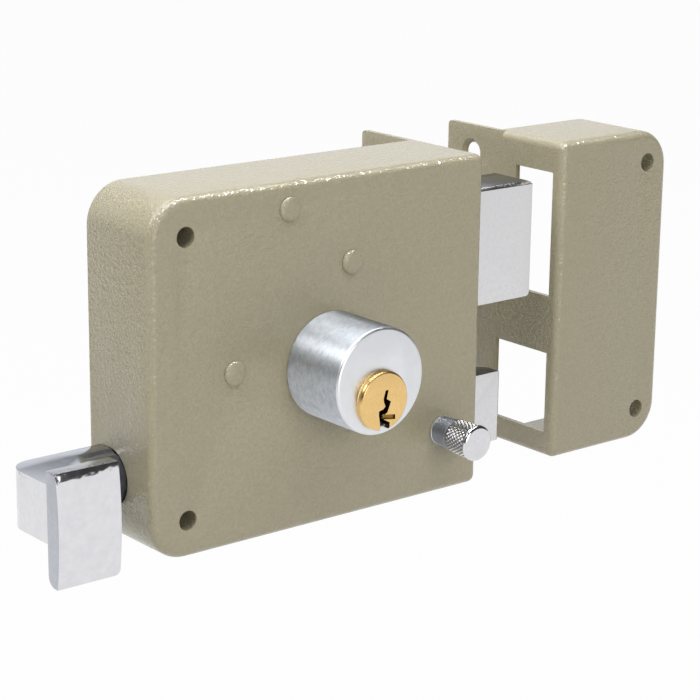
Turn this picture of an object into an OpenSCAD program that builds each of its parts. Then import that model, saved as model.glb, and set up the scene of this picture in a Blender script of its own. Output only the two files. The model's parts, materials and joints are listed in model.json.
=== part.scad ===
// Surface-mounted door lock: a painted steel case with a turning key plug, a dead bolt, a
// sprung latch with a finger pull and a turning snib, and the strike box for the frame.
// The origin is where the key axis meets the door face: +X towards the strike, +Y into the
// door, +Z up.

/* [Case] */
// Width of the case from its left wall to the forend
case_w = 103; // [100:0.5:110]
// Height of the case
case_h = 88; // [86:0.5:94]
// Depth of the case in front of the door face
case_d = 26; // [26:0.5:29]
// Distance from the forend's outer face to the key axis
backset = 50; // [49:0.5:53]
// Height of the key axis above the bottom of the case
plug_h = 36.5; // [36:0.5:39]
// Thickness of the case's and the strike's sheet steel
sheet_t = 1.5; // [1.2:0.1:1.8]
// Radius of the corners away from the forend, in the front view
corner_r = 10; // [8:0.5:11]
// Outer radius of the bends round the front faces
bend_r = 2.2; // [2:0.1:2.6]
// Reach of the case's edge flange behind the door face
flange_back = 21.6; // [20:0.2:26]
// Step from the case's top down to the top of its flange
flange_drop = 0.5; // [0.3:0.1:1]
// Radius of the flanges' far corners
flange_corner_r = 1.2; // [0.6:0.1:3]
// Thickness of the flat plate that closes the case
back_t = 1.2; // [1:0.1:1.4]
// Diameter of the hole for the outer cylinder's tailpiece
tail_hole_d = 18; // [14:0.5:20]

/* [Fixing holes] */
// Diameter of the screw holes through the case and the strike
screw_hole_d = 5; // [4:0.1:5.4]
// Distance of the case's screw holes from its left wall
screw_side = 10.2; // [9.5:0.1:11]
// Distance of the case's screw holes from its top and bottom
screw_edge = 9.5; // [9:0.1:10]
// Diameter of the countersunk holes in the flanges
edge_hole_d = 5.3; // [4:0.1:5.6]
// Distance of the flange holes behind the door face
edge_hole_back = 10.7; // [8:0.1:13]
// Distance of the case's flange holes from the flange's ends
case_hole_end = 9.5; // [8:0.1:12]
// Distance of the strike's flange holes from its flange's ends
strike_hole_end = 7.7; // [7:0.1:12]

/* [Posts] */
// Radius of the posts between the front and the back plate
post_r = 2.5; // [2.2:0.1:2.8]
// Radius of the rivet heads on the front
rivet_r = 3.05; // [2.8:0.05:3.6]
// Height of the rivet heads
rivet_h = 0.9; // [0.6:0.1:1.4]
// Radius of the post's neck through the front
rivet_neck_r = 1.8; // [1.5:0.1:2]
// Place of the upper post left of the key axis
upper_post_left = 12.6; // [11:0.2:14]
// Place of the slot post right of the key axis
slot_post_right = 6.6; // [6:0.1:7.4]
// Place of the lower post right of the case's left wall
lower_post_in = 24.1; // [23:0.1:24.8]
// Height of the lower post above the key axis
lower_post_up = 7.1; // [6.4:0.1:7.2]
// Radius of the screws in the posts
post_screw_r = 1.5; // [1.2:0.05:1.6]
// Length of the screws in the posts
post_screw_l = 7; // [5:0.5:9]

/* [Cylinder] */
// Radius of the cylinder housing
housing_r = 13.4; // [13:0.1:14.5]
// Length of the cylinder housing in front of the case
housing_l = 19.6; // [19:0.1:22]
// Height of the housing's axis above the key axis
housing_up = 4.6; // [4.4:0.05:4.8]
// Wall of the housing sleeve
sleeve_t = 1.5; // [1.2:0.1:1.5]
// Face thickness of the housing sleeve
sleeve_face_t = 2; // [1.5:0.1:2.5]
// Rim chamfer of the housing sleeve
sleeve_chamfer = 0.5; // [0.3:0.1:0.9]
// Radius of the threaded spigot through the front
spigot_r = 9; // [8.5:0.1:9.4]
// Outer radius of the ring nut on the spigot
nut_r = 12.5; // [12:0.1:13]
// Radius of the plug's body
plug_r = 6.35; // [6.2:0.05:6.4]
// Radius of the plug's head on the housing face
plug_head_r = 7.4; // [7:0.1:7.8]
// Height of the plug's head
plug_head_h = 1.6; // [1.2:0.1:2]
// Radius of the plug's rear journal
journal_r = 3; // [2.8:0.1:3.2]
// Radius of the plug's drive shaft behind the journal
shaft_r = 1.7; // [1.6:0.05:1.8]
// Width over the flats of the drive shaft
shaft_flat = 2.6; // [2.2:0.1:2.8]
// Number of pin stacks
pin_count = 5; // [4:1:5]
// Distance between pin stacks
pin_pitch = 3.1; // [2.9:0.05:3.15]
// Radius of the pins
pin_r = 1.2; // [1.1:0.02:1.2]
// Length of the driver pins
driver_l = 4; // [3.5:0.1:4.5]
// Wire diameter of the pin springs
pin_wire_d = 0.3; // [0.25:0.01:0.34]
// Curls of each pin spring
pin_curls = 5; // [4:1:6]

/* [Bolt drive] */
// Pitch radius of the pinion, which sets the bolt's throw for one turn of the key
pinion_r = 3.4; // [3.3:0.02:3.5]
// Teeth of the pinion
pinion_teeth = 10; // [10:1:10]
// Thickness of the bolt's tail plate
tail_t = 2.5; // [2.2:0.1:2.8]
// Set-back of the tail plate behind the bolt's front face
tail_set = 8.8; // [8:0.1:9]
// Radius of the pinion's hub
hub_r = 5; // [4.8:0.1:6]
// Length of the pinion's hub
hub_l = 4.6; // [4:0.1:5]

/* [Dead bolt] */
// Distance from the case's top to the top of the dead bolt
bolt_drop = 10.1; // [9.9:0.1:11]
// Depth of both bolts from front to back
bolt_t = 13.5; // [13.4:0.1:14]
// Underside of the dead bolt above the key axis
bolt_up = 10.2; // [10.1:0.1:10.6]
// Set-back of both bolts behind the case's front
bolt_set = 4.6; // [4.5:0.1:5]
// Chamfer round the end of the dead bolt
bolt_chamfer = 0.8; // [0.5:0.1:1.2]

/* [Latch] */
// Reach of the latch beyond the forend
latch_reach = 11.9; // [11.7:0.1:12.1]
// Travel of the latch and its finger pull
latch_travel = 11.2; // [10.8:0.1:11.2]
// Height of the latch
latch_h = 19.2; // [18:0.2:20]
// Middle of the latch below the key axis
latch_down = 18.5; // [18:0.1:18.8]
// Thickness of the latch's nose
nose_t = 3.6; // [3:0.1:4.5]
// Thickness of the latch bar
bar_t = 3; // [2.5:0.1:3.4]
// Height of the latch bar
bar_h = 11.4; // [11:0.1:11.6]
// Set-back of the latch bar behind the latch's front face
bar_set = 9.2; // [9:0.1:9.8]
// Length of the latch spring between the lug and the bar
spring_l = 24; // [23:0.5:26]
// Outer radius of the latch spring
spring_r = 3.3; // [3:0.05:3.4]
// Wire diameter of the latch spring
wire_d = 0.9; // [0.7:0.05:1]
// Curls of the latch spring
spring_curls = 8; // [6:1:9]

/* [Finger pull] */
// Radius of the pull's neck
neck_r = 6.9; // [6.6:0.1:7]
// Distance of the neck's axis from the door face
neck_off = 8.5; // [8.4:0.1:8.8]
// Length of the neck between the case and the arm
neck_out = 9.4; // [8.5:0.1:10]
// Height of the pull's arm
arm_h = 14.5; // [13:0.1:15]
// Set-back of the arm's rear face behind the case's front
arm_back = 21.3; // [20.6:0.1:22]
// Reach of the pull beyond the case's left wall
pull_reach = 26.4; // [25:0.1:30]
// Width of the finger plate
plate_w = 17; // [15:0.1:18.5]
// Height of the finger plate
plate_h = 27.9; // [25:0.1:29]
// Top of the finger plate above the middle of the neck
plate_up = 10.5; // [9.5:0.1:11]
// Thickness of the finger plate at its edges
plate_t = 3.9; // [3:0.1:4.5]
// How far the finger plate's edges stand in front of the case's front
plate_proud = 0.4; // [0:0.1:1]
// Bulge of the finger plate's front face
plate_bulge = 1; // [0.5:0.1:1.5]

/* [Snib] */
// Distance of the snib's axis from the forend's outer face
snib_in = 13.2; // [13.1:0.1:13.6]
// Height of the snib's axis below the key axis
snib_down = 19.5; // [18.6:0.1:20.4]
// Length of the snib knob in front of the case
knob_l = 14.7; // [13:0.1:16]
// Radius of the snib knob at the case
knob_base_r = 3.8; // [3.2:0.1:4]
// Radius of the snib knob at its front rim
knob_rim_r = 4.7; // [4.4:0.1:5.4]
// Length of the knob's smooth neck
knob_neck_l = 4.2; // [3:0.1:5]
// Radius of the snib's locking pin
snib_pin_r = 1.75; // [1.6:0.05:1.8]
// Width over the flats of the locking pin
snib_flat = 2.2; // [2:0.1:2.4]
// Depth of the locking pin in the latch
snib_depth = 4.9; // [4:0.1:5.5]

/* [Strike] */
// Gap between the case and the strike as they are shown apart
strike_gap = 28.3; // [26:0.1:32]
// Width of the strike box
strike_w = 40.2; // [38:0.1:44]
// Depth of the strike box in front of the frame face
strike_d = 25.2; // [25:0.1:26]
// How much shorter the strike is than the case
strike_short = 0.8; // [0:0.1:2]
// Reach of the strike's flange behind the frame face
strike_flange = 20.1; // [18:0.1:24]
// Distance of the strike's front holes from its outer side
strike_screw_side = 7.9; // [7.5:0.1:12]
// Distance of the strike's front holes from its top and bottom
strike_screw_edge = 8.6; // [8:0.1:11]
// Room above and below the dead bolt in the strike
bolt_room = 1.3; // [0.8:0.1:2]
// Room above and below the latch in the strike
latch_room = 1.1; // [0.8:0.1:2]
// Room before and behind the dead bolt in the strike
strike_room = 0.4; // [0.3:0.1:0.6]
// Web of the strike behind the latch's opening
strike_web = 1.4; // [1:0.1:4]

/* [Hidden] */
$fn = 48;

// Clearances
slide_gap = 0.1;    // beside a sliding piece
run_gap = 0.05;     // round a turning shaft or pin
seat_gap = 0.02;    // round a riveted, pressed or screwed piece
free_gap = 0.3;     // round a piece that passes through the sheet
cut = 1;            // how far a cutting shape runs past the surface

// Case
left = backset - case_w;
bottom = -plug_h;
top = case_h - plug_h;
front = -case_d;
front_in = front + sheet_t;
forend_in = backset - sheet_t;
screw_x = left + screw_side;
screw_zs = [bottom + screw_edge, top - screw_edge];
flange_top = top - flange_drop;
flange_bottom = bottom + flange_drop;

// Dead bolt and its drive
bolt_throw = 2 * PI * pinion_r;
bolt_y0 = front + bolt_set;
bolt_y1 = bolt_y0 + bolt_t;
bolt_top = top - bolt_drop;
bolt_h = bolt_top - bolt_up;
bolt_end = backset + bolt_throw;
module_size = 2 * pinion_r / pinion_teeth;
tooth_pitch = PI * module_size;
pressure_angle = 25;
tooth_backlash = 0.08;
rack_addendum = 0.75 * module_size;
rack_dedendum = 1.1 * module_size;
pinion_addendum = 0.74 * module_size;
pinion_dedendum = 0.92 * module_size;
rack_root = pinion_r + rack_dedendum;
tail_y0 = bolt_y0 + tail_set;
tail_y1 = tail_y0 + tail_t;
rack_over = 3.8;    // rack beyond the pinion's axis at each end of the travel

// Posts
post_back = -back_t;
post_bore_over = 0.5;   // thread beyond the screw's end
post_wall = 1;      // metal between a post and the edge of the tail plate
upper_post_z = bolt_top + post_r + post_wall;
upper_post_x = -upper_post_left;
slot_post_z = bolt_up + bolt_h * 0.6122;
slot_post_x = slot_post_right;
lower_post_x = left + lower_post_in;
lower_post_z = lower_post_up;
tail_top = upper_post_z - post_r - slide_gap;
tail_left = upper_post_x - post_r - 2 * post_wall;
tail_arm_z = lower_post_z + post_r + 2 * free_gap;
slot_right = slot_post_x + bolt_throw + post_r + slide_gap;
bolt_left = slot_right + post_wall;
joint_depth = 8;    // how deep the tail and the bar sit in the bolts
bolt_rivet_x = bolt_left + joint_depth / 2;
bolt_rivet_zs = [bolt_up + bolt_h * 0.22, bolt_top - bolt_h * 0.22];
bolt_rivet_r = 1.5;

// Cylinder
face_y = front - housing_l;
core_r = housing_r - sleeve_t - run_gap;
core_front = face_y + sleeve_face_t;
plug_back = front - sheet_t;
nut_t = bolt_set - sheet_t - free_gap;
spigot_over = 1;    // spigot beyond the nut
spigot_back = front_in + nut_t + spigot_over;
clip_t = 0.8;
clip_groove = 0.5;  // depth of the clip's groove
journal_back = spigot_back + slide_gap + clip_t;
journal_end = journal_back + clip_t;
pinion_over = 0.4;  // pinion wider than the rack on each side
pinion_y0 = tail_y0 - pinion_over;
pinion_y1 = tail_y1 + pinion_over;
hub_back = pinion_y1 + hub_l;
tailpiece_depth = 1.8;
tailpiece_w = 2;
tailpiece_h = 8;
hub_web = 0.6;      // metal between the drive shaft and the tailpiece's slot
shaft_end = hub_back - tailpiece_depth - hub_web;
cross_pin_y = (pinion_y1 + shaft_end) / 2;
cross_pin_r = 0.6;
chamber_r = pin_r + run_gap;
first_pin_in = 3.6; // first pin stack behind the housing's face
pin_ys = [for (i = [0:pin_count - 1]) face_y + first_pin_in + i * pin_pitch];
chamber_low = -1.5; // lower end of the plug's pin chambers
chamber_top = housing_up + housing_r;
driver_z = plug_r + 2 * slide_gap;
spring_top = housing_up + core_r - run_gap;
pin_low = 0.4;      // lower end of the longest key pin
pin_cut = 0.35;     // step between the depths of the key's cuts

// Latch, bar and pull
latch_z = -latch_down;
latch_end = backset + latch_reach;
latch_in = 20;      // length of the latch inside the forend's outer face
latch_left = backset - latch_in;
latch_rivet_x = latch_left + 3 * joint_depth / 8;
latch_rivet_zs = [latch_z - bar_h / 3, latch_z + bar_h / 3];
latch_rivet_r = 1.2;
bar_y0 = bolt_y0 + bar_set;
bar_y1 = bar_y0 + bar_t;
bar_y = (bar_y0 + bar_y1) / 2;
neck_y = -neck_off;
neck_over = 2.5;    // neck inside the case's wall when the pull is drawn out
neck_in = left + sheet_t + latch_travel + neck_over;
neck_flat = 5.7;    // the neck's underside is flat, clear of the lower fixing screw
bar_left = neck_in - 9.2;
pull_pin_r = 1.5;
pull_pin_x = neck_in - 2 * pull_pin_r;
pull_pin_l = neck_r - 0.8;
lug_t = 1.5;
lug_x = lower_post_x - 0.6;
lug_h = 7;
window_h = 2 * spring_r + 1;
window_left = lug_x - lug_t - 1;
window_right = lug_x + spring_l;
bracket_t = 1.5;
bracket_y0 = post_back - bracket_t;
bracket_side = 6;   // bracket to the right of the lower post's axis
bracket_over = 5;   // bracket above the lower post's axis

// Snib
snib_x = backset - snib_in;
snib_z = -snib_down;
snib_tip = bolt_y0 + snib_depth;
bushing_r = 3;
bushing_flange_r = 4;
bushing_back = front_in + 1.1;
snib_clip_y0 = bushing_back + slide_gap;
snib_clip_t = 0.7;
snib_groove = 0.35; // depth of the snib clip's groove

// Strike
strike_left = backset + strike_gap;
strike_right = strike_left + strike_w;
strike_bottom = bottom + strike_short / 2;
strike_top = top - strike_short / 2;
strike_front = -strike_d;
strike_screw_x = strike_right - strike_screw_side;
strike_screw_zs = [strike_bottom + strike_screw_edge, strike_top - strike_screw_edge];

// Extrudes a front-view outline from y0 to y1
module slab(y0, y1) {
    translate([0, y1, 0])
        rotate([90, 0, 0])
            linear_extrude(y1 - y0)
                children();
}

// Extrudes a side-view outline, drawn as (y, z), from x0 to x1
module side_slab(x0, x1) {
    translate([x0, 0, 0])
        rotate([90, 0, 90])
            linear_extrude(x1 - x0)
                children();
}

// Rod along Y
module rod(x, z, y0, y1, r) {
    translate([x, y1, z])
        rotate([90, 0, 0])
            cylinder(h = y1 - y0, r = r);
}

// Rod along X through the pinion's hub and the drive shaft
module cross_rod(half_l, r) {
    translate([-half_l, cross_pin_y, 0])
        rotate([0, 90, 0])
            cylinder(h = 2 * half_l, r = r);
}

// Turns a profile, drawn as (radius, distance in front of y), round an axis along Y
module turned(x, y, z) {
    translate([x, y, z])
        rotate([90, 0, 0])
            rotate_extrude()
                children();
}

// Box between two corners
module block(low, high) {
    translate(low)
        cube(high - low);
}

// Rectangle with one corner radius on its left and one on its right
module rounded(x0, x1, z0, z1, left_r, right_r) {
    translate([x0 + left_r, z0])
        square([x1 - x0 - left_r - right_r, z1 - z0]);
    for (side = [[x0, left_r, 0], [x1, right_r, 1]])
        if (side[1] > 0) {
            translate([side[0] - side[1] * side[2], z0 + side[1]])
                square([side[1], z1 - z0 - 2 * side[1]]);
            for (z = [z0 + side[1], z1 - side[1]])
                translate([side[0] + side[1] * (1 - 2 * side[2]), z])
                    circle(side[1]);
        }
}

// Rounded pressing with its front edges bent to bend_r: the front is at y0
module pressing(x0, x1, z0, z1, y0, y1, left_r, right_r) {
    bend_y = y0 + bend_r;
    slab(bend_y, y1)
        rounded(x0, x1, z0, z1, left_r, right_r);
    slab(y0, bend_y)
        rounded(x0 + bend_r, x1 - bend_r, z0 + bend_r, z1 - bend_r,
            left_r - bend_r, right_r - bend_r);
    for (z = [z0 + bend_r, z1 - bend_r])
        translate([x0 + left_r, bend_y, z])
            rotate([0, 90, 0])
                cylinder(h = x1 - x0 - left_r - right_r, r = bend_r);
    for (side = [[x0, left_r, 1], [x1, right_r, -1]]) {
        translate([side[0] + side[2] * bend_r, bend_y, z0 + side[1]])
            cylinder(h = z1 - z0 - 2 * side[1], r = bend_r);
        for (z = [z0 + side[1], z1 - side[1]])
            if (side[1] > bend_r)
                turned(side[0] + side[2] * side[1], bend_y, z)
                    union() {
                        square([side[1] - bend_r, bend_r]);
                        intersection() {
                            translate([side[1] - bend_r, 0])
                                circle(bend_r);
                            square([side[1], bend_r]);
                        }
                    }
            else
                translate([side[0] + side[2] * side[1], bend_y, z])
                    sphere(bend_r);
    }
}

// Flat flange with rounded far corners, from y0 back to y1
module flange(x, z0, z1, y0, y1) {
    side_slab(x, x + sheet_t)
        union() {
            translate([y0, z0])
                square([y1 - y0 - flange_corner_r, z1 - z0]);
            translate([y0, z0 + flange_corner_r])
                square([y1 - y0, z1 - z0 - 2 * flange_corner_r]);
            for (z = [z0 + flange_corner_r, z1 - flange_corner_r])
                translate([y1 - flange_corner_r, z])
                    circle(flange_corner_r);
        }
}

// Countersunk hole through a flange; face is the x of the sunk side, into its direction
module sunk_hole(face, into, y, z) {
    hole_r = edge_hole_d / 2;
    translate([face, y, z])
        rotate([0, 90 * into, 0]) {
            translate([0, 0, -cut])
                cylinder(h = sheet_t + 2 * cut, r = hole_r);
            cylinder(h = sheet_t * 0.8, r1 = hole_r + sheet_t * 0.8, r2 = hole_r);
        }
}

// Round post riveted to the front, threaded for a back-plate screw
module post(x, z) {
    color("silver")
        difference() {
            union() {
                rod(x, z, front_in, post_back, post_r);
                rod(x, z, front - slide_gap, front_in + slide_gap, rivet_neck_r - seat_gap);
                turned(x, front, z)
                    polygon([[0, 0], [rivet_r, 0], [rivet_r, rivet_h * 0.35],
                        [rivet_r * 0.86, rivet_h * 0.75], [rivet_r * 0.55, rivet_h], [0, rivet_h]]);
            }
            rod(x, z, post_back - post_screw_l - post_bore_over, cut, post_screw_r + seat_gap);
        }
}

// Points of a coil along X: straight for one wire diameter, wound, and straight again
function coil_path(length, radius, wire, curls) =
    let (run = length - 2 * wire, steps = 8 * curls)
    concat(
        [[0, 0, radius]],
        [for (i = [0:steps]) let (a = 360 * i / steps)
            [wire + run * i / steps, radius * sin(a), radius * cos(a)]],
        [[length, 0, radius]]);

// Least gap between curls, measured on points half a curl or more apart
function coil_gap(path, wire) =
    min([for (i = [0:len(path) - 5], j = [i + 4:1:len(path) - 1]) norm(path[i] - path[j])]) - wire;

// Unbroken wire swept along a coil path
module coil(length, radius, wire, curls) {
    path = coil_path(length, radius, wire, curls);
    last = len(path) - 1;
    sides = 6;
    rings = [for (i = [0:last])
        let (
            along = path[min(i + 1, last)] - path[max(i - 1, 0)],
            t = along / norm(along),
            n = [0, path[i][1], path[i][2]] / radius,
            b = cross(t, n)
        )
        [for (k = [0:sides - 1])
            path[i] + wire / 2 * (cos(360 * k / sides) * n + sin(360 * k / sides) * b)]];
    echo(least_gap = coil_gap(path, wire));
    polyhedron(
        points = [for (ring = rings) for (p = ring) p],
        faces = concat(
            [for (k = [1:sides - 2]) [0, k, k + 1]],
            [for (k = [1:sides - 2]) [last * sides, last * sides + k + 1, last * sides + k]],
            [for (i = [0:last - 1], k = [0:sides - 1], half = [0, 1])
                let (a = i * sides + k, b = i * sides + (k + 1) % sides)
                half == 0 ? [a, a + sides, b] : [b, a + sides, b + sides]]));
}

module case_cover() {
    color("tan")
        difference() {
            union() {
                pressing(left, backset, bottom, top, front, 0, corner_r, bend_r);
                flange(forend_in, flange_bottom, flange_top, -sheet_t, flange_back);
            }
            slab(front_in, cut)
                rounded(left + sheet_t, forend_in, bottom + sheet_t, top - sheet_t,
                    corner_r - sheet_t, 0.5);
            for (z = screw_zs)
                rod(screw_x, z, front - cut, front_in + cut, screw_hole_d / 2);
            for (p = [[upper_post_x, upper_post_z], [slot_post_x, slot_post_z],
                    [lower_post_x, lower_post_z]])
                rod(p[0], p[1], front - cut, front_in + cut, rivet_neck_r);
            rod(0, housing_up, front - cut, front_in + cut, spigot_r + seat_gap);
            rod(snib_x, snib_z, front - cut, front_in + cut, bushing_r + seat_gap);
            block([forend_in - cut, bolt_y0 - free_gap, bolt_up - free_gap],
                [backset + cut, bolt_y1 + free_gap, bolt_top + free_gap]);
            block([forend_in - cut, bolt_y0 - free_gap, latch_z - latch_h / 2 - free_gap],
                [backset + cut, bolt_y1 + free_gap, latch_z + latch_h / 2 + free_gap]);
            translate([left - cut, neck_y, latch_z])
                rotate([0, 90, 0])
                    cylinder(h = sheet_t + 2 * cut, r = neck_r + free_gap);
            for (z = [flange_bottom + case_hole_end, flange_top - case_hole_end])
                sunk_hole(backset, -1, edge_hole_back, z);
        }
}

module back_plate() {
    plate_gap = 0.2;
    edge = sheet_t + plate_gap;
    head_r = post_screw_r + back_t;
    color("darkkhaki")
        difference() {
            slab(-back_t, 0)
                rounded(left + edge, backset - edge, bottom + edge, top - edge, corner_r - edge, 0.5);
            for (z = screw_zs)
                rod(screw_x, z, -back_t - cut, cut, screw_hole_d / 2);
            rod(0, 0, -back_t - cut, cut, tail_hole_d / 2);
            for (p = [[upper_post_x, upper_post_z], [slot_post_x, slot_post_z],
                    [lower_post_x, lower_post_z]])
                turned(p[0], 0, p[1])
                    polygon([[0, -cut], [head_r, -cut], [head_r, 0],
                        [post_screw_r + seat_gap, back_t], [post_screw_r + seat_gap, back_t + cut],
                        [0, back_t + cut]]);
        }
}

module back_plate_screws() {
    head_r = post_screw_r + back_t;
    slot_w = 0.8;
    color("silver")
        for (p = [[upper_post_x, upper_post_z], [slot_post_x, slot_post_z],
                [lower_post_x, lower_post_z]])
            difference() {
                turned(p[0], 0, p[1])
                    polygon([[0, 0], [head_r - 0.1, 0], [post_screw_r, back_t - 0.1],
                        [post_screw_r, back_t + post_screw_l], [0, back_t + post_screw_l]]);
                block([p[0] - slot_w / 2, -0.6, p[1] - head_r],
                    [p[0] + slot_w / 2, cut, p[1] + head_r]);
            }
}

module upper_post() {
    post(upper_post_x, upper_post_z);
}

module slot_post() {
    post(slot_post_x, slot_post_z);
}

module lower_post() {
    post(lower_post_x, lower_post_z);
}

module housing_sleeve() {
    color("lightgray")
        difference() {
            turned(0, front, housing_up)
                polygon([[0, 0], [housing_r, 0], [housing_r, housing_l - sleeve_chamfer],
                    [housing_r - sleeve_chamfer, housing_l], [0, housing_l]]);
            rod(0, housing_up, core_front, front + cut, housing_r - sleeve_t);
            rod(0, 0, face_y - cut, core_front + cut, plug_r + run_gap);
        }
}

module cylinder_core() {
    color("goldenrod")
        difference() {
            union() {
                rod(0, housing_up, core_front, front, core_r);
                rod(0, housing_up, front, spigot_back, spigot_r);
            }
            rod(0, 0, core_front - cut, plug_back + run_gap, plug_r + run_gap);
            rod(0, 0, plug_back, spigot_back + cut, journal_r + run_gap);
            for (y = pin_ys)
                translate([0, y, 0])
                    cylinder(h = chamber_top, r = chamber_r);
        }
}

module cylinder_nut() {
    flat_w = nut_r * 1.86;
    color("silver")
        intersection() {
            difference() {
                rod(0, housing_up, front_in, front_in + nut_t, nut_r);
                rod(0, housing_up, front_in - cut, front_in + nut_t + cut, spigot_r + seat_gap);
            }
            block([-flat_w / 2, front, housing_up - nut_r], [flat_w / 2, 0, housing_up + nut_r]);
        }
}

module driver_pins() {
    color("silver")
        for (y = pin_ys)
            translate([0, y, driver_z])
                cylinder(h = driver_l, r = pin_r);
}

module pin_springs() {
    spring_low = driver_z + driver_l + run_gap;
    color("gray")
        for (y = pin_ys)
            translate([0, y, spring_low])
                rotate([0, -90, 0])
                    coil(spring_top - spring_low, pin_r - pin_wire_d / 2 - 0.1, pin_wire_d, pin_curls);
}

module key_plug() {
    // Paracentric keyway, open at the lower edge
    keyway = [[0.2, 2.7], [1.1, 2.7], [0.6, 0.5], [1.9, -0.3], [1.5, -1.4], [0.8, -2.9],
        [-0.6, -3.6], [-0.4, -4.4], [1.6, -5.5], [1.6, -9], [-1.2, -9], [-1.4, -5.5],
        [-1.8, -3.2], [-1.8, -2.2], [-0.5, -1.9], [0.2, -1.3], [-0.3, -0.1], [-0.4, 0.7]];
    head_y = face_y - plug_head_h;
    recess_depth = 0.6;
    color("gold")
        difference() {
            union() {
                turned(0, face_y, 0)
                    polygon([[0, 0], [plug_head_r, 0], [plug_head_r, plug_head_h * 0.6],
                        [plug_head_r - 0.2, plug_head_h * 0.87], [plug_head_r - 0.5, plug_head_h],
                        [0, plug_head_h]]);
                rod(0, 0, face_y, plug_back, plug_r);
                rod(0, 0, plug_back, journal_end, journal_r);
                intersection() {
                    rod(0, 0, journal_back, shaft_end, shaft_r);
                    block([-shaft_flat / 2, journal_back, -shaft_r],
                        [shaft_flat / 2, hub_back, shaft_r]);
                }
            }
            slab(head_y - cut, plug_back - sheet_t)
                polygon(keyway);
            slab(head_y - cut, head_y + recess_depth)
                polygon([[-0.5, -3.2], [3.3, -3.8], [3.3, -5], [-0.5, -4.4]]);
            for (y = pin_ys)
                translate([0, y, chamber_low])
                    cylinder(h = plug_r * 2, r = chamber_r);
            difference() {
                rod(0, 0, journal_back - clip_t - seat_gap, journal_back + seat_gap, journal_r + cut);
                rod(0, 0, spigot_back, journal_back + cut, journal_r - clip_groove);
            }
            cross_rod(hub_r, cross_pin_r + seat_gap);
        }
}

module key_pins() {
    color("gold")
        for (i = [0:pin_count - 1]) {
            low = pin_low + pin_cut * ((i * 3) % 4);
            translate([0, pin_ys[i], low])
                cylinder(h = plug_r - free_gap - low, r = pin_r);
        }
}

module plug_clip() {
    ring_r = journal_r + 2 * clip_t;
    color("dimgray")
        difference() {
            rod(0, 0, journal_back - clip_t, journal_back, ring_r);
            rod(0, 0, spigot_back, journal_back + cut, journal_r - clip_groove + seat_gap);
            block([-1.5 * clip_t, spigot_back, -ring_r - cut], [1.5 * clip_t, journal_back + cut, 0]);
        }
}

function involute(a) = tan(a) - a * PI / 180;

// Half the angle of a pinion tooth at radius r, in degrees
function tooth_half(r) =
    let (
        base_r = pinion_r * cos(pressure_angle),
        a = acos(min(1, base_r / r)),
        at_pitch = 90 / pinion_teeth - tooth_backlash / 4 / pinion_r * 180 / PI
    )
    at_pitch + (involute(pressure_angle) - involute(a)) * 180 / PI;

module bolt_pinion() {
    root_r = pinion_r - pinion_dedendum;
    tip_r = pinion_r + pinion_addendum;
    base_r = pinion_r * cos(pressure_angle);
    steps = 4;
    radii = concat([root_r], [for (i = [0:steps]) base_r + (tip_r - base_r) * i / steps]);
    flank = [for (r = radii) [r, tooth_half(r)]];
    color("silver")
        difference() {
            union() {
                slab(pinion_y0, pinion_y1)
                    polygon([for (k = [0:pinion_teeth - 1], i = [0:2 * len(flank) - 1])
                        let (
                            p = i < len(flank) ? flank[i] : flank[2 * len(flank) - 1 - i],
                            side = i < len(flank) ? 1 : -1,
                            a = 90 - 360 * k / pinion_teeth + side * p[1]
                        )
                        p[0] * [cos(a), sin(a)]]);
                rod(0, 0, pinion_y1, hub_back, hub_r);
            }
            intersection() {
                rod(0, 0, pinion_y0 - cut, shaft_end + seat_gap, shaft_r + seat_gap);
                block([-shaft_flat / 2 - seat_gap, pinion_y0 - cut, -shaft_r - cut],
                    [shaft_flat / 2 + seat_gap, shaft_end + seat_gap, shaft_r + cut]);
            }
            block([-tailpiece_w / 2, shaft_end + hub_web, -tailpiece_h / 2],
                [tailpiece_w / 2, hub_back + cut, tailpiece_h / 2]);
            cross_rod(hub_r + cut, cross_pin_r + seat_gap);
        }
}

module pinion_pin() {
    color("dimgray")
        cross_rod(hub_r - free_gap, cross_pin_r);
}

module dead_bolt() {
    c = bolt_chamfer;
    color("lightgray")
        difference() {
            intersection() {
                side_slab(bolt_left, bolt_end)
                    polygon([[bolt_y0, bolt_up], [bolt_y1, bolt_up], [bolt_y1, bolt_top],
                        [bolt_y0 + c, bolt_top], [bolt_y0, bolt_top - c]]);
                slab(bolt_y0, bolt_y1)
                    rounded(bolt_left, bolt_end, bolt_up, bolt_top, 0, 1.2);
            }
            block([bolt_left - cut, tail_y0, bolt_up - cut],
                [bolt_left + joint_depth, tail_y1, bolt_top + cut]);
            for (z = bolt_rivet_zs)
                rod(bolt_rivet_x, z, bolt_y0 - cut, bolt_y1 + cut, bolt_rivet_r + seat_gap);
        }
}

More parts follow.
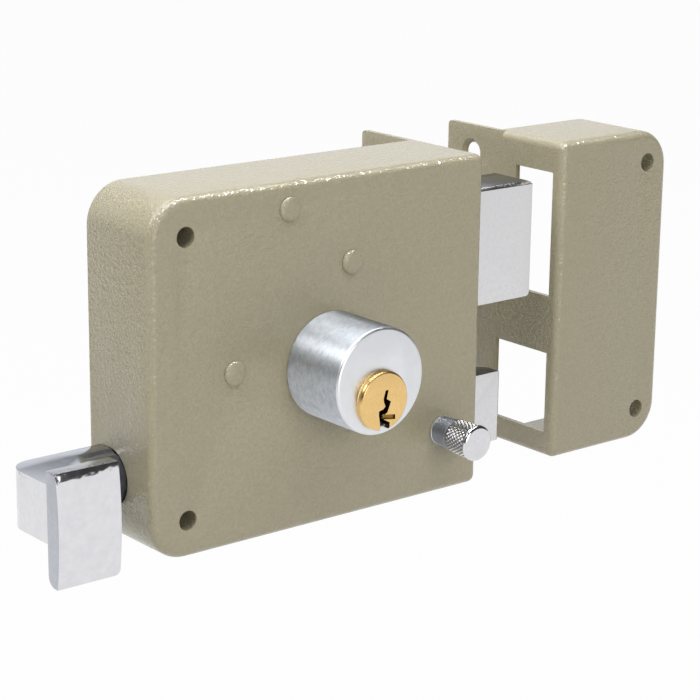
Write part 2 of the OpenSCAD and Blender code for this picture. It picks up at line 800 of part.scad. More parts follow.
module bolt_tail() {
    half_at_pitch = tooth_pitch / 4 - tooth_backlash / 4;
    slope = tan(pressure_angle);
    first = ceil(-rack_over / tooth_pitch - 0.5);
    last = floor((bolt_throw + rack_over) / tooth_pitch - 0.5);
    slot_h = 2 * (post_r + slide_gap);
    slot_left = slot_post_x;
    color("silver")
        difference() {
            slab(tail_y0, tail_y1)
                difference() {
                    union() {
                        translate([-rack_over, rack_root])
                            square([bolt_left + joint_depth + rack_over, tail_arm_z - rack_root]);
                        translate([tail_left, tail_arm_z])
                            square([bolt_left - tail_left, tail_top - tail_arm_z]);
                        translate([bolt_left, bolt_up])
                            square([joint_depth, bolt_h]);
                        for (i = [first:last])
                            translate([(i + 0.5) * tooth_pitch, pinion_r])
                                polygon([
                                    [-half_at_pitch - rack_dedendum * slope, rack_dedendum],
                                    [-half_at_pitch + rack_addendum * slope, -rack_addendum],
                                    [half_at_pitch - rack_addendum * slope, -rack_addendum],
                                    [half_at_pitch + rack_dedendum * slope, rack_dedendum]]);
                    }
                    translate([bolt_left, 0])
                        square([joint_depth + cut, bolt_up]);
                    translate([slot_left, slot_post_z - slot_h / 2])
                        square([bolt_throw, slot_h]);
                    for (x = [slot_left, slot_left + bolt_throw])
                        translate([x, slot_post_z])
                            circle(slot_h / 2);
                }
            for (z = bolt_rivet_zs)
                rod(bolt_rivet_x, z, tail_y0 - cut, tail_y1 + cut, bolt_rivet_r + seat_gap);
        }
}

module bolt_rivets() {
    color("gray")
        for (z = bolt_rivet_zs)
            rod(bolt_rivet_x, z, bolt_y0 + slide_gap, bolt_y1 - slide_gap, bolt_rivet_r);
}

module latch_bolt() {
    low = latch_z - latch_h / 2;
    high = latch_z + latch_h / 2;
    slot_w = snib_flat + 2 * slide_gap + 0.1;
    pocket_r = snib_pin_r + 0.15;
    slot_back = snib_tip + 0.5;
    nose_r = 1;
    color("lightgray")
        difference() {
            intersection() {
                translate([0, 0, low])
                    linear_extrude(latch_h)
                        union() {
                            polygon([[latch_left, bolt_y0], [latch_end - nose_r, bolt_y0],
                                [latch_end, bolt_y0 + nose_r], [latch_end, bolt_y0 + nose_t],
                                [backset + 1, bolt_y1], [latch_left, bolt_y1]]);
                            translate([latch_end - nose_r, bolt_y0 + nose_r])
                                circle(nose_r);
                        }
                slab(bolt_y0, bolt_y1)
                    rounded(latch_left, latch_end, low, high, 0, 0.8);
            }
            block([latch_left - cut, bar_y0, low - cut],
                [latch_left + joint_depth, bar_y1, high + cut]);
            for (x = [snib_x, snib_x + latch_travel])
                rod(x, snib_z, bolt_y0 - cut, slot_back, pocket_r);
            block([snib_x, bolt_y0 - cut, snib_z - slot_w / 2],
                [snib_x + latch_travel, slot_back, snib_z + slot_w / 2]);
            for (z = latch_rivet_zs)
                rod(latch_rivet_x, z, bolt_y0 - cut, bolt_y1 + cut, latch_rivet_r + seat_gap);
        }
}

module latch_bar() {
    color("silver")
        difference() {
            block([bar_left, bar_y0, latch_z - bar_h / 2],
                [latch_left + joint_depth, bar_y1, latch_z + bar_h / 2]);
            block([window_left, bar_y0 - cut, latch_z - window_h / 2],
                [window_right, bar_y1 + cut, latch_z + window_h / 2]);
            for (z = latch_rivet_zs)
                rod(latch_rivet_x, z, bar_y0 - cut, bar_y1 + cut, latch_rivet_r + seat_gap);
            rod(pull_pin_x, latch_z, bar_y0 - cut, bar_y1 + cut, pull_pin_r + seat_gap);
        }
}

module latch_rivets() {
    color("gray")
        for (z = latch_rivet_zs)
            rod(latch_rivet_x, z, bolt_y0 + slide_gap, bolt_y1 - slide_gap, latch_rivet_r);
}

module finger_pull() {
    pull_left = left - pull_reach;
    arm_right = left - neck_out;
    plate_right = pull_left + plate_w;
    plate_front = front - plate_proud;
    plate_back = plate_front + plate_t;
    plate_top = latch_z + plate_up;
    plate_low = plate_top - plate_h;
    bulge_r = ((plate_h / 2) * (plate_h / 2) + plate_bulge * plate_bulge) / (2 * plate_bulge);
    arm_y1 = front + arm_back;
    arm_corner_r = 6;
    low_edge_r = 2.6;
    pin_bore = pull_pin_l + 2 * slide_gap;
    color("lightgray")
        difference() {
            union() {
                translate([0, 0, latch_z - arm_h / 2])
                    linear_extrude(arm_h)
                        union() {
                            translate([pull_left, plate_back - 0.5])
                                square([arm_right - pull_left, arm_y1 - arm_corner_r - plate_back + 0.5]);
                            translate([pull_left + arm_corner_r, plate_back])
                                square([arm_right - pull_left - arm_corner_r, arm_y1 - plate_back]);
                            translate([pull_left + arm_corner_r, arm_y1 - arm_corner_r])
                                circle(arm_corner_r);
                        }
                intersection() {
                    side_slab(pull_left, plate_right)
                        union() {
                            translate([plate_front - 2, plate_low + low_edge_r])
                                square([plate_t + 2, plate_h - low_edge_r]);
                            translate([plate_front - 2, plate_low])
                                square([plate_t + 2 - low_edge_r, plate_h]);
                            translate([plate_back - low_edge_r, plate_low + low_edge_r])
                                circle(low_edge_r);
                        }
                    translate([pull_left - cut, plate_front - plate_bulge + bulge_r,
                            (plate_top + plate_low) / 2])
                        rotate([0, 90, 0])
                            cylinder(h = plate_w + 2 * cut, r = bulge_r);
                }
                side_slab(arm_right - 1, left - free_gap)
                    polygon([[neck_y - 2, latch_z], [neck_y - 2, latch_z + neck_r - 0.35],
                        [neck_y - 0.6, latch_z + arm_h / 2], [arm_y1, latch_z + arm_h / 2],
                        [arm_y1, latch_z]]);
                intersection() {
                    translate([arm_right - 1, neck_y, latch_z])
                        rotate([0, 90, 0])
                            cylinder(h = neck_in - arm_right + 1, r = neck_r);
                    block([arm_right - 2, neck_y - neck_r, latch_z - neck_flat],
                        [neck_in, neck_y + neck_r, latch_z + neck_r]);
                }
            }
            block([bar_left - seat_gap, bar_y0 - seat_gap, latch_z - bar_h / 2 - seat_gap],
                [neck_in + cut, bar_y1 + seat_gap, latch_z + bar_h / 2 + seat_gap]);
            rod(pull_pin_x, latch_z, neck_y - pin_bore, neck_y + pin_bore, pull_pin_r + seat_gap);
        }
}

module pull_pin() {
    color("gray")
        rod(pull_pin_x, latch_z, neck_y - pull_pin_l, neck_y + pull_pin_l, pull_pin_r);
}

module latch_bracket() {
    bracket_left = lug_x - lug_t;
    bracket_right = lower_post_x + bracket_side;
    bracket_low = latch_z - lug_h / 2;
    bracket_high = lower_post_z + bracket_over;
    color("silver")
        difference() {
            union() {
                block([bracket_left, bracket_y0, bracket_low], [bracket_right, post_back, bracket_high]);
                block([bracket_left, bar_y0 - lug_t, latch_z - lug_h / 2],
                    [lug_x, post_back, latch_z + lug_h / 2]);
            }
            rod(lower_post_x, lower_post_z, bracket_y0 - cut, post_back + cut, post_r + seat_gap);
        }
}

module latch_spring() {
    color("gray")
        translate([lug_x + run_gap, bar_y, latch_z])
            coil(spring_l - 2 * run_gap, spring_r - wire_d / 2, wire_d, spring_curls);
}

module snib_bushing() {
    color("silver")
        difference() {
            union() {
                rod(snib_x, snib_z, front, bushing_back, bushing_r);
                rod(snib_x, snib_z, front_in, bushing_back, bushing_flange_r);
            }
            rod(snib_x, snib_z, front - cut, bushing_back + cut, snib_pin_r + run_gap);
        }
}

module snib_knob() {
    neck_end_r = knob_base_r + 0.3;
    rim_chamfer = 0.6;
    dimple_r = 0.6;
    color("lightgray")
        difference() {
            turned(snib_x, front - run_gap, snib_z)
                polygon([[0, 0], [knob_base_r, 0], [neck_end_r, knob_neck_l],
                    [neck_end_r + 0.15, knob_neck_l + 0.2], [knob_rim_r, knob_l - 1.2],
                    [knob_rim_r - rim_chamfer, knob_l - run_gap], [0, knob_l - run_gap]]);
            rod(snib_x, snib_z, front - knob_l + 4, front + cut, snib_pin_r + seat_gap);
            translate([snib_x, front - knob_l - 0.3, snib_z])
                sphere(dimple_r);
        }
}

module snib_pin() {
    color("gray")
        difference() {
            rod(snib_x, snib_z, front - knob_l + 4.1, snib_tip, snib_pin_r);
            for (side = [-1, 1])
                translate([snib_x, 0, snib_z + side * (snib_flat / 2 + cut)])
                    block([-snib_pin_r - cut, bolt_y0 - 0.6, -cut],
                        [snib_pin_r + cut, snib_tip + cut, cut]);
            difference() {
                rod(snib_x, snib_z, snib_clip_y0 - seat_gap, snib_clip_y0 + snib_clip_t + seat_gap,
                    snib_pin_r + cut);
                rod(snib_x, snib_z, front, 0, snib_pin_r - snib_groove);
            }
        }
}

module snib_clip() {
    ring_r = snib_pin_r + 1.6;
    clip_end = snib_clip_y0 + snib_clip_t;
    color("dimgray")
        difference() {
            rod(snib_x, snib_z, snib_clip_y0, clip_end, ring_r);
            rod(snib_x, snib_z, snib_clip_y0 - cut, clip_end + cut,
                snib_pin_r - snib_groove + seat_gap);
            block([snib_x - 0.9, snib_clip_y0 - cut, snib_z - ring_r - cut],
                [snib_x + 0.9, clip_end + cut, snib_z]);
        }
}

module strike_box() {
    inner_x = strike_left + sheet_t;
    color("tan")
        difference() {
            union() {
                pressing(strike_left, strike_right, strike_bottom, strike_top, strike_front, 0,
                    bend_r, corner_r);
                flange(strike_left, strike_bottom, strike_top, -sheet_t, strike_flange);
            }
            slab(strike_front + sheet_t, cut)
                rounded(inner_x, strike_right - sheet_t, strike_bottom + sheet_t,
                    strike_top - sheet_t, 0.5, corner_r - sheet_t);
            block([strike_left - cut, bolt_y0 - strike_room, bolt_up - bolt_room],
                [inner_x + cut, bolt_y1 + strike_room, bolt_top + bolt_room]);
            block([strike_left - cut, bolt_y0 - strike_room, latch_z - latch_h / 2 - latch_room],
                [inner_x + cut, -strike_web, latch_z + latch_h / 2 + latch_room + 1]);
            for (z = strike_screw_zs)
                rod(strike_screw_x, z, strike_front - cut, strike_front + sheet_t + cut,
                    screw_hole_d / 2);
            for (z = [strike_bottom + strike_hole_end, strike_top - strike_hole_end])
                sunk_hole(strike_left, 1, edge_hole_back, z);
        }
}

case_cover();
back_plate();
back_plate_screws();
upper_post();
slot_post();
lower_post();
housing_sleeve();
cylinder_core();
cylinder_nut();
driver_pins();
pin_springs();
latch_bracket();
snib_bushing();
dead_bolt();
bolt_tail();
bolt_rivets();
key_plug();
key_pins();
plug_clip();
bolt_pinion();
pinion_pin();
latch_bolt();
latch_bar();
latch_rivets();
finger_pull();
pull_pin();
latch_spring();
snib_knob();
snib_pin();
snib_clip();
strike_box();
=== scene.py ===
"""Looks of a surface-mounted door lock with its strike box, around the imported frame."""
import json
import logging
import math
from collections.abc import Callable
from dataclasses import dataclass, field
from enum import Enum

import bmesh
import bpy
from mathutils import Matrix, Vector

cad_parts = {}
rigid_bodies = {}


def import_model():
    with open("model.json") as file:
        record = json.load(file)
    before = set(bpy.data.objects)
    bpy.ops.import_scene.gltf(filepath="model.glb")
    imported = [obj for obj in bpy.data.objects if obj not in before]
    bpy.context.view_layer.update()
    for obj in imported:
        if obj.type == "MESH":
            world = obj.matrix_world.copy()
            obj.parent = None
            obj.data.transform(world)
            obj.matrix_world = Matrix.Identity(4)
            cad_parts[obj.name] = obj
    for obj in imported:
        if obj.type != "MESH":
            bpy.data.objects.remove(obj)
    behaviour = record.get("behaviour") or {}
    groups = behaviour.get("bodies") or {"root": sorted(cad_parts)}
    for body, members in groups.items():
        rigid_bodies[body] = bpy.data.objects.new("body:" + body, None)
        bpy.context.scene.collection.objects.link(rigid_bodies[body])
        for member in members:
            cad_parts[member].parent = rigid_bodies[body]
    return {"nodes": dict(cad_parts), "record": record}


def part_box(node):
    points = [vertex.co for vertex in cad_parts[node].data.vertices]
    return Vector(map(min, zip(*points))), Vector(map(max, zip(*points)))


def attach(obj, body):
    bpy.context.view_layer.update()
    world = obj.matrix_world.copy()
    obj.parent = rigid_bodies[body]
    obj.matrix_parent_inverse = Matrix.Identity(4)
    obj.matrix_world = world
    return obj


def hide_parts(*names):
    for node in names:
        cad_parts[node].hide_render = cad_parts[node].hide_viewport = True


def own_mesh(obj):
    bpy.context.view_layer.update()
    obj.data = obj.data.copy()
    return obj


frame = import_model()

log = logging.getLogger("door_lock")
MM = 0.001
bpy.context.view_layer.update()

WELD = 0.002                          # mm within which vertices are one
FLAT = 0.3                            # degrees under which neighbouring faces are one
CREASE = 32                           # degrees over which an edge gets rounded
SNIB_X, SNIB_Z = 36.8, -19.5          # the snib's axis, in mm
FACING = 0.9                          # least share of a direction that runs along an axis
NOISE_LOW, NOISE_HIGH = 0.3, 0.7      # between which nearly all of a noise's values lie
TONE_LOW, TONE_HIGH = 0.35, 0.65      # between which a noise turns one tone to the other
MIX_A, MIX_B, MIX_COLOUR = 6, 7, 2    # a Mix node's sockets for colours, two in and one out

NodeInput = bpy.types.NodeSocket | float | tuple | Vector
Spot = Callable[[Vector, Vector], bool]
Shape = Callable[[bmesh.types.BMesh], None]


def linear(hex_colour: str) -> tuple[float, float, float, float]:
    """Turns an sRGB colour such as "#A4A088" to linear RGBA.

    Args:
        hex_colour: the colour as # and six hex digits.

    Returns:
        The linear colour with alpha 1.
    """
    channels = [int(hex_colour[i:i + 2], 16) / 255 for i in (1, 3, 5)]
    red, green, blue = (c / 12.92 if c <= 0.04045 else ((c + 0.055) / 1.055) ** 2.4
                        for c in channels)
    return red, green, blue, 1.0


def per_mm(size: float) -> float:
    """Gives the texture scale whose pattern is that many millimetres across."""
    return 1 / (size * MM)


def add_node(tree: bpy.types.NodeTree, kind: str, inputs: dict[str | int, NodeInput] | None = None,
             **settings: object) -> bpy.types.Node:
    """Adds a shader node with its settings, values and links.

    Args:
        tree: the node tree.
        kind: the node's type.
        inputs: socket name or number to a value, or to the output that feeds it.
        settings: attributes of the node.

    Returns:
        The new node.
    """
    node = tree.nodes.new(kind)
    for name, value in settings.items():
        setattr(node, name, value)
    for socket, value in (inputs or {}).items():
        if isinstance(value, bpy.types.NodeSocket):
            tree.links.new(value, node.inputs[socket])
        else:
            node.inputs[socket].default_value = value
    return node


def new_material(name: str) -> tuple[bpy.types.Material, bpy.types.NodeTree, bpy.types.Node]:
    """Makes an empty node material.

    Args:
        name: the material's name.

    Returns:
        The material, its node tree and its output node.
    """
    material = bpy.data.materials.new(name)
    material.use_nodes = True
    tree = material.node_tree
    tree.nodes.clear()
    return material, tree, add_node(tree, "ShaderNodeOutputMaterial")


class Axis(Enum):
    """Lathe axes of the turned finishes: a point on the axis, in metres. All run along Y."""

    HOUSING = (0.0, 0.0, 4.6 * MM)
    PLUG = (0.0, 0.0, 0.0)
    SNIB = (SNIB_X * MM, 0.0, SNIB_Z * MM)


@dataclass(frozen=True)
class OrangePeelPaint:
    """Gloss stoving enamel sprayed on pressed steel.

    It dries to a leathery skin: the flats look nearly even, with a faint grain, and where a bend
    faces a lamp the beads of the glossy skin break its reflection into a row of glints. The
    pigment below the skin is duller and spreads a soft sheen over faces seen at a slant.
    """

    name: str = "orange_peel_enamel"
    colour: str = "#A69E83"
    shade: str = "#9E967B"
    hump: float = 0.66             # mm between humps of the pigment
    hump_depth: float = 0.16
    bead: float = 0.90             # mm across one bead of the skin
    bead_depth: float = 0.22
    grain: float = 0.24            # mm, the finer pits; 0.1 in fact, drawn coarser to show
    grain_depth: float = 0.03
    grain_relief: float = 0.30     # how much of the pits shows
    roughness: float = 0.46        # of the pigment
    spread: float = 0.06           # how much that varies
    skin: float = 0.65             # weight of the skin
    skin_roughness: float = 0.08

    def build(self) -> bpy.types.Material:
        """Builds the material."""
        material, tree, output = new_material(self.name)
        place = add_node(tree, "ShaderNodeTexCoord").outputs["Object"]
        humps = add_node(tree, "ShaderNodeTexNoise", {
            "Vector": place, "Scale": per_mm(self.hump), "Detail": 2.0, "Roughness": 0.5,
            "Distortion": 0.8})
        pits = add_node(tree, "ShaderNodeTexNoise", {
            "Vector": place, "Scale": per_mm(self.grain), "Detail": 2.0})
        beads = add_node(tree, "ShaderNodeTexVoronoi", {
            "Vector": place, "Scale": per_mm(self.bead), "Smoothness": 0.5},
            feature="SMOOTH_F1")
        skin = add_node(tree, "ShaderNodeBump", {
            "Height": beads.outputs["Distance"], "Strength": 1.0,
            "Distance": self.bead_depth * MM})
        soft = add_node(tree, "ShaderNodeBump", {
            "Height": humps.outputs["Fac"], "Strength": 1.0, "Distance": self.hump_depth * MM})
        fine = add_node(tree, "ShaderNodeBump", {
            "Height": pits.outputs["Fac"], "Strength": self.grain_relief,
            "Distance": self.grain_depth * MM, "Normal": soft.outputs["Normal"]})
        sheen = add_node(tree, "ShaderNodeMapRange", {
            "Value": pits.outputs["Fac"], "From Min": NOISE_LOW, "From Max": NOISE_HIGH,
            "To Min": self.roughness - self.spread, "To Max": self.roughness + self.spread})
        share = add_node(tree, "ShaderNodeMapRange", {
            "Value": humps.outputs["Fac"], "From Min": TONE_LOW, "From Max": TONE_HIGH})
        tone = add_node(tree, "ShaderNodeMix", {
            0: share.outputs["Result"], MIX_A: linear(self.shade), MIX_B: linear(self.colour)},
            data_type="RGBA")
        shader = add_node(tree, "ShaderNodeBsdfPrincipled", {
            "Base Color": tone.outputs[MIX_COLOUR], "Roughness": sheen.outputs["Result"],
            "IOR": 1.5, "Normal": fine.outputs["Normal"], "Coat Weight": self.skin,
            "Coat Roughness": self.skin_roughness, "Coat Normal": skin.outputs["Normal"]})
        tree.links.new(shader.outputs["BSDF"], output.inputs["Surface"])
        return material


@dataclass(frozen=True)
class PlainMetal:
    """A metal surface without a direction: cast and polished, rolled, ground or plated."""

    name: str
    colour: str
    shade: str
    roughness: float
    spread: float = 0.06         # how much the roughness varies
    patch: float = 2.5           # mm across the patches of tone
    grain: float = 0.25          # mm across the grain
    grain_depth: float = 0.02
    relief: float = 0.05         # how much of the grain shows
    wave: float = 0.0            # how much shows of the slow waves that a hand polish leaves
    wave_share: float = 0.6      # width of a wave, as a share of a patch
    wave_depth: float = 0.35

    def build(self) -> bpy.types.Material:
        """Builds the material."""
        material, tree, output = new_material(self.name)
        place = add_node(tree, "ShaderNodeTexCoord").outputs["Object"]
        patches = add_node(tree, "ShaderNodeTexNoise", {
            "Vector": place, "Scale": per_mm(self.patch), "Detail": 4.0, "Roughness": 0.65})
        grain = add_node(tree, "ShaderNodeTexNoise", {
            "Vector": place, "Scale": per_mm(self.grain), "Detail": 2.0})
        waves = add_node(tree, "ShaderNodeTexNoise", {
            "Vector": place, "Scale": per_mm(self.patch * self.wave_share), "Detail": 1.0})
        slow = add_node(tree, "ShaderNodeBump", {
            "Height": waves.outputs["Fac"], "Strength": self.wave,
            "Distance": self.wave_depth * MM})
        fine = add_node(tree, "ShaderNodeBump", {
            "Height": grain.outputs["Fac"], "Strength": self.relief,
            "Distance": self.grain_depth * MM, "Normal": slow.outputs["Normal"]})
        gloss = add_node(tree, "ShaderNodeMapRange", {
            "Value": patches.outputs["Fac"], "From Min": NOISE_LOW, "From Max": NOISE_HIGH,
            "To Min": self.roughness - self.spread, "To Max": self.roughness + self.spread})
        share = add_node(tree, "ShaderNodeMapRange", {
            "Value": patches.outputs["Fac"], "From Min": TONE_LOW, "From Max": TONE_HIGH})
        tone = add_node(tree, "ShaderNodeMix", {
            0: share.outputs["Result"], MIX_A: linear(self.shade), MIX_B: linear(self.colour)},
            data_type="RGBA")
        shader = add_node(tree, "ShaderNodeBsdfPrincipled", {
            "Base Color": tone.outputs[MIX_COLOUR], "Metallic": 1.0,
            "Roughness": gloss.outputs["Result"], "Normal": fine.outputs["Normal"]})
        tree.links.new(shader.outputs["BSDF"], output.inputs["Surface"])
        return material


@dataclass(frozen=True)
class TurnedMetal:
    """Metal finished on a lathe: fine strokes run round the axis, on the side and on the face.

    The strokes blur a reflection along the axis and leave it crisp round it, so a lamp becomes
    a band from end to end of the side.
    """

    name: str
    colour: str
    shade: str
    roughness: float
    axis: Axis
    ring: float = 0.22           # mm between strokes; finer in fact, drawn coarser to show
    stroke: float = 2.0          # mm, length of one stroke at the radius below
    radius: float = 13.0
    stroke_depth: float = 0.02
    relief: float = 0.30         # how much of the strokes shows
    patch: float = 1.6           # mm across the patches of tone
    tones: tuple[float, float] = (0.38, 0.62)      # the mean of two noises varies less than one
    spread: tuple[float, float] = (-0.05, 0.06)    # least and most change of the roughness
    anisotropic: float = 0.5
    quarter: float = 0.25        # turns the blur across the strokes

    def build(self) -> bpy.types.Material:
        """Builds the material."""
        material, tree, output = new_material(self.name)
        place = add_node(tree, "ShaderNodeTexCoord").outputs["Object"]
        centred = add_node(tree, "ShaderNodeVectorMath", {
            0: place, 1: self.axis.value}, operation="SUBTRACT")
        split = add_node(tree, "ShaderNodeSeparateXYZ", {0: centred.outputs[0]})
        across = add_node(tree, "ShaderNodeCombineXYZ", {
            "X": split.outputs["X"], "Z": split.outputs["Z"]})
        radius = add_node(tree, "ShaderNodeVectorMath", {
            0: across.outputs[0]}, operation="LENGTH")
        turn = add_node(tree, "ShaderNodeMath", {
            0: split.outputs["X"], 1: split.outputs["Z"]}, operation="ARCTAN2")
        arc = add_node(tree, "ShaderNodeMath", {
            0: turn.outputs[0], 1: self.radius * MM * self.ring / self.stroke},
            operation="MULTIPLY")
        along = add_node(tree, "ShaderNodeCombineXYZ", {
            "X": radius.outputs["Value"], "Y": split.outputs["Y"], "Z": arc.outputs[0]})
        strokes = add_node(tree, "ShaderNodeTexNoise", {
            "Vector": along.outputs[0], "Scale": per_mm(self.ring), "Detail": 3.0,
            "Roughness": 0.6})
        patches = add_node(tree, "ShaderNodeTexNoise", {
            "Vector": place, "Scale": per_mm(self.patch), "Detail": 5.0, "Roughness": 0.7})
        both = add_node(tree, "ShaderNodeMath", {
            0: patches.outputs["Fac"], 1: strokes.outputs["Fac"]}, operation="ADD")
        mean = add_node(tree, "ShaderNodeMath", {
            0: both.outputs[0], 1: 0.5}, operation="MULTIPLY")
        marks = add_node(tree, "ShaderNodeBump", {
            "Height": strokes.outputs["Fac"], "Strength": self.relief,
            "Distance": self.stroke_depth * MM})
        gloss = add_node(tree, "ShaderNodeMapRange", {
            "Value": patches.outputs["Fac"], "From Min": NOISE_LOW, "From Max": NOISE_HIGH,
            "To Min": self.roughness + self.spread[0], "To Max": self.roughness + self.spread[1]})
        share = add_node(tree, "ShaderNodeMapRange", {
            "Value": mean.outputs[0], "From Min": self.tones[0], "From Max": self.tones[1]})
        tone = add_node(tree, "ShaderNodeMix", {
            0: share.outputs["Result"], MIX_A: linear(self.shade), MIX_B: linear(self.colour)},
            data_type="RGBA")
        tangent = add_node(tree, "ShaderNodeTangent", direction_type="RADIAL", axis="Y")
        shader = add_node(tree, "ShaderNodeBsdfPrincipled", {
            "Base Color": tone.outputs[MIX_COLOUR], "Metallic": 1.0,
            "Roughness": gloss.outputs["Result"], "Anisotropic": self.anisotropic,
            "Anisotropic Rotation": self.quarter, "Tangent": tangent.outputs[0],
            "Normal": marks.outputs["Normal"]})
        tree.links.new(shader.outputs["BSDF"], output.inputs["Surface"])
        return material


@dataclass(frozen=True)
class KnurledChrome:
    """Rolled diamond knurl under bright plating, its colour lighter on the crests as painted
    highlight and darker in the grooves as painted shade.
    """

    name: str = "knurled_chrome_painted_light"
    # The light crest colour is painted highlight and the dark colour of the grooves is painted
    # shade, both set by the knurl's height.
    crest: str = "#F0F0F2"
    groove_shade: str = "#8A8C92"
    tones: tuple[float, float] = (0.12, 0.62)    # heights between which the tone changes
    wear: float = 0.5    # mm across the patches of wear
    roughness: tuple[float, float] = (0.20, 0.32)    # least and most

    def build(self) -> bpy.types.Material:
        """Builds the material. The mesh's crest attribute, 0 in the valleys and 1 on a crest, sets
        the painted highlight and shade.
        """
        material, tree, output = new_material(self.name)
        height = add_node(tree, "ShaderNodeAttribute", attribute_name="crest")
        place = add_node(tree, "ShaderNodeTexCoord").outputs["Object"]
        wear = add_node(tree, "ShaderNodeTexNoise", {
            "Vector": place, "Scale": per_mm(self.wear), "Detail": 2.0})
        gloss = add_node(tree, "ShaderNodeMapRange", {
            "Value": wear.outputs["Fac"], "From Min": NOISE_LOW, "From Max": NOISE_HIGH,
            "To Min": self.roughness[0], "To Max": self.roughness[1]})
        # Painted shade in the valleys, painted highlight on the crests.
        share = add_node(tree, "ShaderNodeMapRange", {
            "Value": height.outputs["Fac"], "From Min": self.tones[0], "From Max": self.tones[1]})
        tone = add_node(tree, "ShaderNodeMix", {
            0: share.outputs["Result"], MIX_A: linear(self.groove_shade), MIX_B: linear(self.crest)},
            data_type="RGBA")
        shader = add_node(tree, "ShaderNodeBsdfPrincipled", {
            "Base Color": tone.outputs[MIX_COLOUR], "Metallic": 1.0,
            "Roughness": gloss.outputs["Result"]})
        tree.links.new(shader.outputs["BSDF"], output.inputs["Surface"])
        return material


class Finish(Enum):
    """The lock's finishes: one for each of the record's material slots, and their variants."""

    # Sprayed enamel: pale beige, nearly even on the flats, with glints along its bends.
    PAINT = OrangePeelPaint()
    # Zinc plate on rolled steel: light grey and mottled, with soft wide highlights.
    PLATED = PlainMetal("zinc_plated_steel", "#C4C6C8", "#B4B7BA", 0.34)
    # Satin chrome on the housing's side: bands of light from end to end over fine rings.
    SATIN = TurnedMetal("satin_chrome_turned", "#E2E6EC", "#BEC4CD", 0.55, Axis.HOUSING,
                        anisotropic=0.9)
    # Chrome on the housing's faced end: even and pale, neither mirror nor matt.
    END = PlainMetal("faced_chrome_end", "#E6E8EB", "#E0E2E5", 0.38, spread=0.03, patch=4.0,
                     relief=0.04)
    # Chrome on the rim round that end: a clean bright line.
    RIM = PlainMetal("polished_chrome_rim", "#E6E8EB", "#E0E2E5", 0.38, spread=0.03)
    # Chrome on a hand-polished casting: a mirror that slow waves bend.
    BRIGHT = PlainMetal("polished_chrome_casting", "#E2E2E5", "#DADADE", 0.12,
                        spread=0.04, patch=3.0, relief=0.04, wave=0.30)
    # Chrome on a linished casting: a greyer edge with a fine tooth.
    LINISHED = PlainMetal("linished_chrome_casting", "#C2C5CB", "#B6B9C0", 0.30,
                          spread=0.06, patch=1.6, relief=0.10)
    # Chrome on the arm's upward faces: a mirror painted darker as shade, and bluer to cool the
    # case's beige in it.
    ARM_TOP_SHADE = PlainMetal("chrome_top_painted_shade", "#BABEC8", "#B0B4BE", 0.16, spread=0.02, patch=3.0,
                     relief=0.03)
    # The pull's casting where it enters the case: dull, and painted a dark bluish grey as shade.
    DULL_SHADE = PlainMetal("cast_neck_painted_shade", "#7A7E8C", "#6A6E7C", 0.40)
    # Milled steel on the tops of the bolt and latch: a blue-grey painted darker than the rest of
    # each bolt as shade, half bright.
    MILLED_SHADE = PlainMetal("milled_steel_painted_shade", "#8A919E", "#7C8390", 0.22, spread=0.04, patch=2.4,
                        relief=0.04)
    # Bright chrome over turning marks: nearly a mirror, with a faint ring to its glints.
    FACED = TurnedMetal("polished_chrome_turned", "#DEDEE1", "#D4D4D8", 0.14, Axis.SNIB,
                        ring=0.30, relief=0.10, anisotropic=0.2)
    # Turned metal on the knob's neck, painted a mid grey darker than the knob's chrome as shade;
    # it sweeps softly from dark to light round the neck.
    KNOB_NECK_SHADE = TurnedMetal("turned_neck_painted_shade", "#A8ACB6", "#9498A3", 0.52, Axis.SNIB, ring=0.24,
                       relief=0.25, anisotropic=0.85)
    # Chrome on a diamond knurl: painted highlight on its points, painted shade along its lines.
    KNURL = KnurledChrome()
    # Nickel plate on ground steel: an even light grey with a fine mottle.
    NICKEL = PlainMetal("nickel_plated_ground_steel", "#DADADB", "#D2D2D4", 0.22,
                        patch=1.2, grain=0.20, relief=0.08)
    # Turned brass: golden, with a soft sheen from its rings.
    BRASS = TurnedMetal("turned_brass", "#F0CE90", "#E6BF7C", 0.30, Axis.PLUG, ring=0.25,
                        relief=0.14, anisotropic=0.3)
    # Milled brass in a recess, painted darker and browner as shade.
    RECESS_SHADE = PlainMetal("recess_brass_painted_shade", "#A07A3C", "#8C682E", 0.40, relief=0.12)
    # Broached brass inside the keyway, painted nearly black as shade.
    KEYWAY_SHADE = PlainMetal("keyway_brass_painted_shade", "#3A2014", "#2A150C", 0.55)
    # Drawn steel, for springs, clips and screws: mid grey, so that they stand out from zinc.
    SPRING = PlainMetal("drawn_steel_wire", "#8A8C90", "#76787C", 0.30)


SLOTS = {
    "case_paint": Finish.PAINT, "plated_steel": Finish.PLATED, "satin_chrome": Finish.SATIN,
    "bright_chrome": Finish.BRIGHT, "bolt_nickel": Finish.NICKEL, "brass": Finish.BRASS,
    "spring_steel": Finish.SPRING,
}
# The upward faces of the bolt and latch get that darker blue-grey: painted shade on their tops.
TOPS_PAINTED_SHADE: tuple[Finish, Spot] = (Finish.MILLED_SHADE, lambda at, way: way.z > FACING)


def slot_of(node: str) -> str:
    """Gives the record's material slot of a CAD node."""
    return next(p["material_slot"] for p in frame["record"]["subparts"] if p["node"] == node)


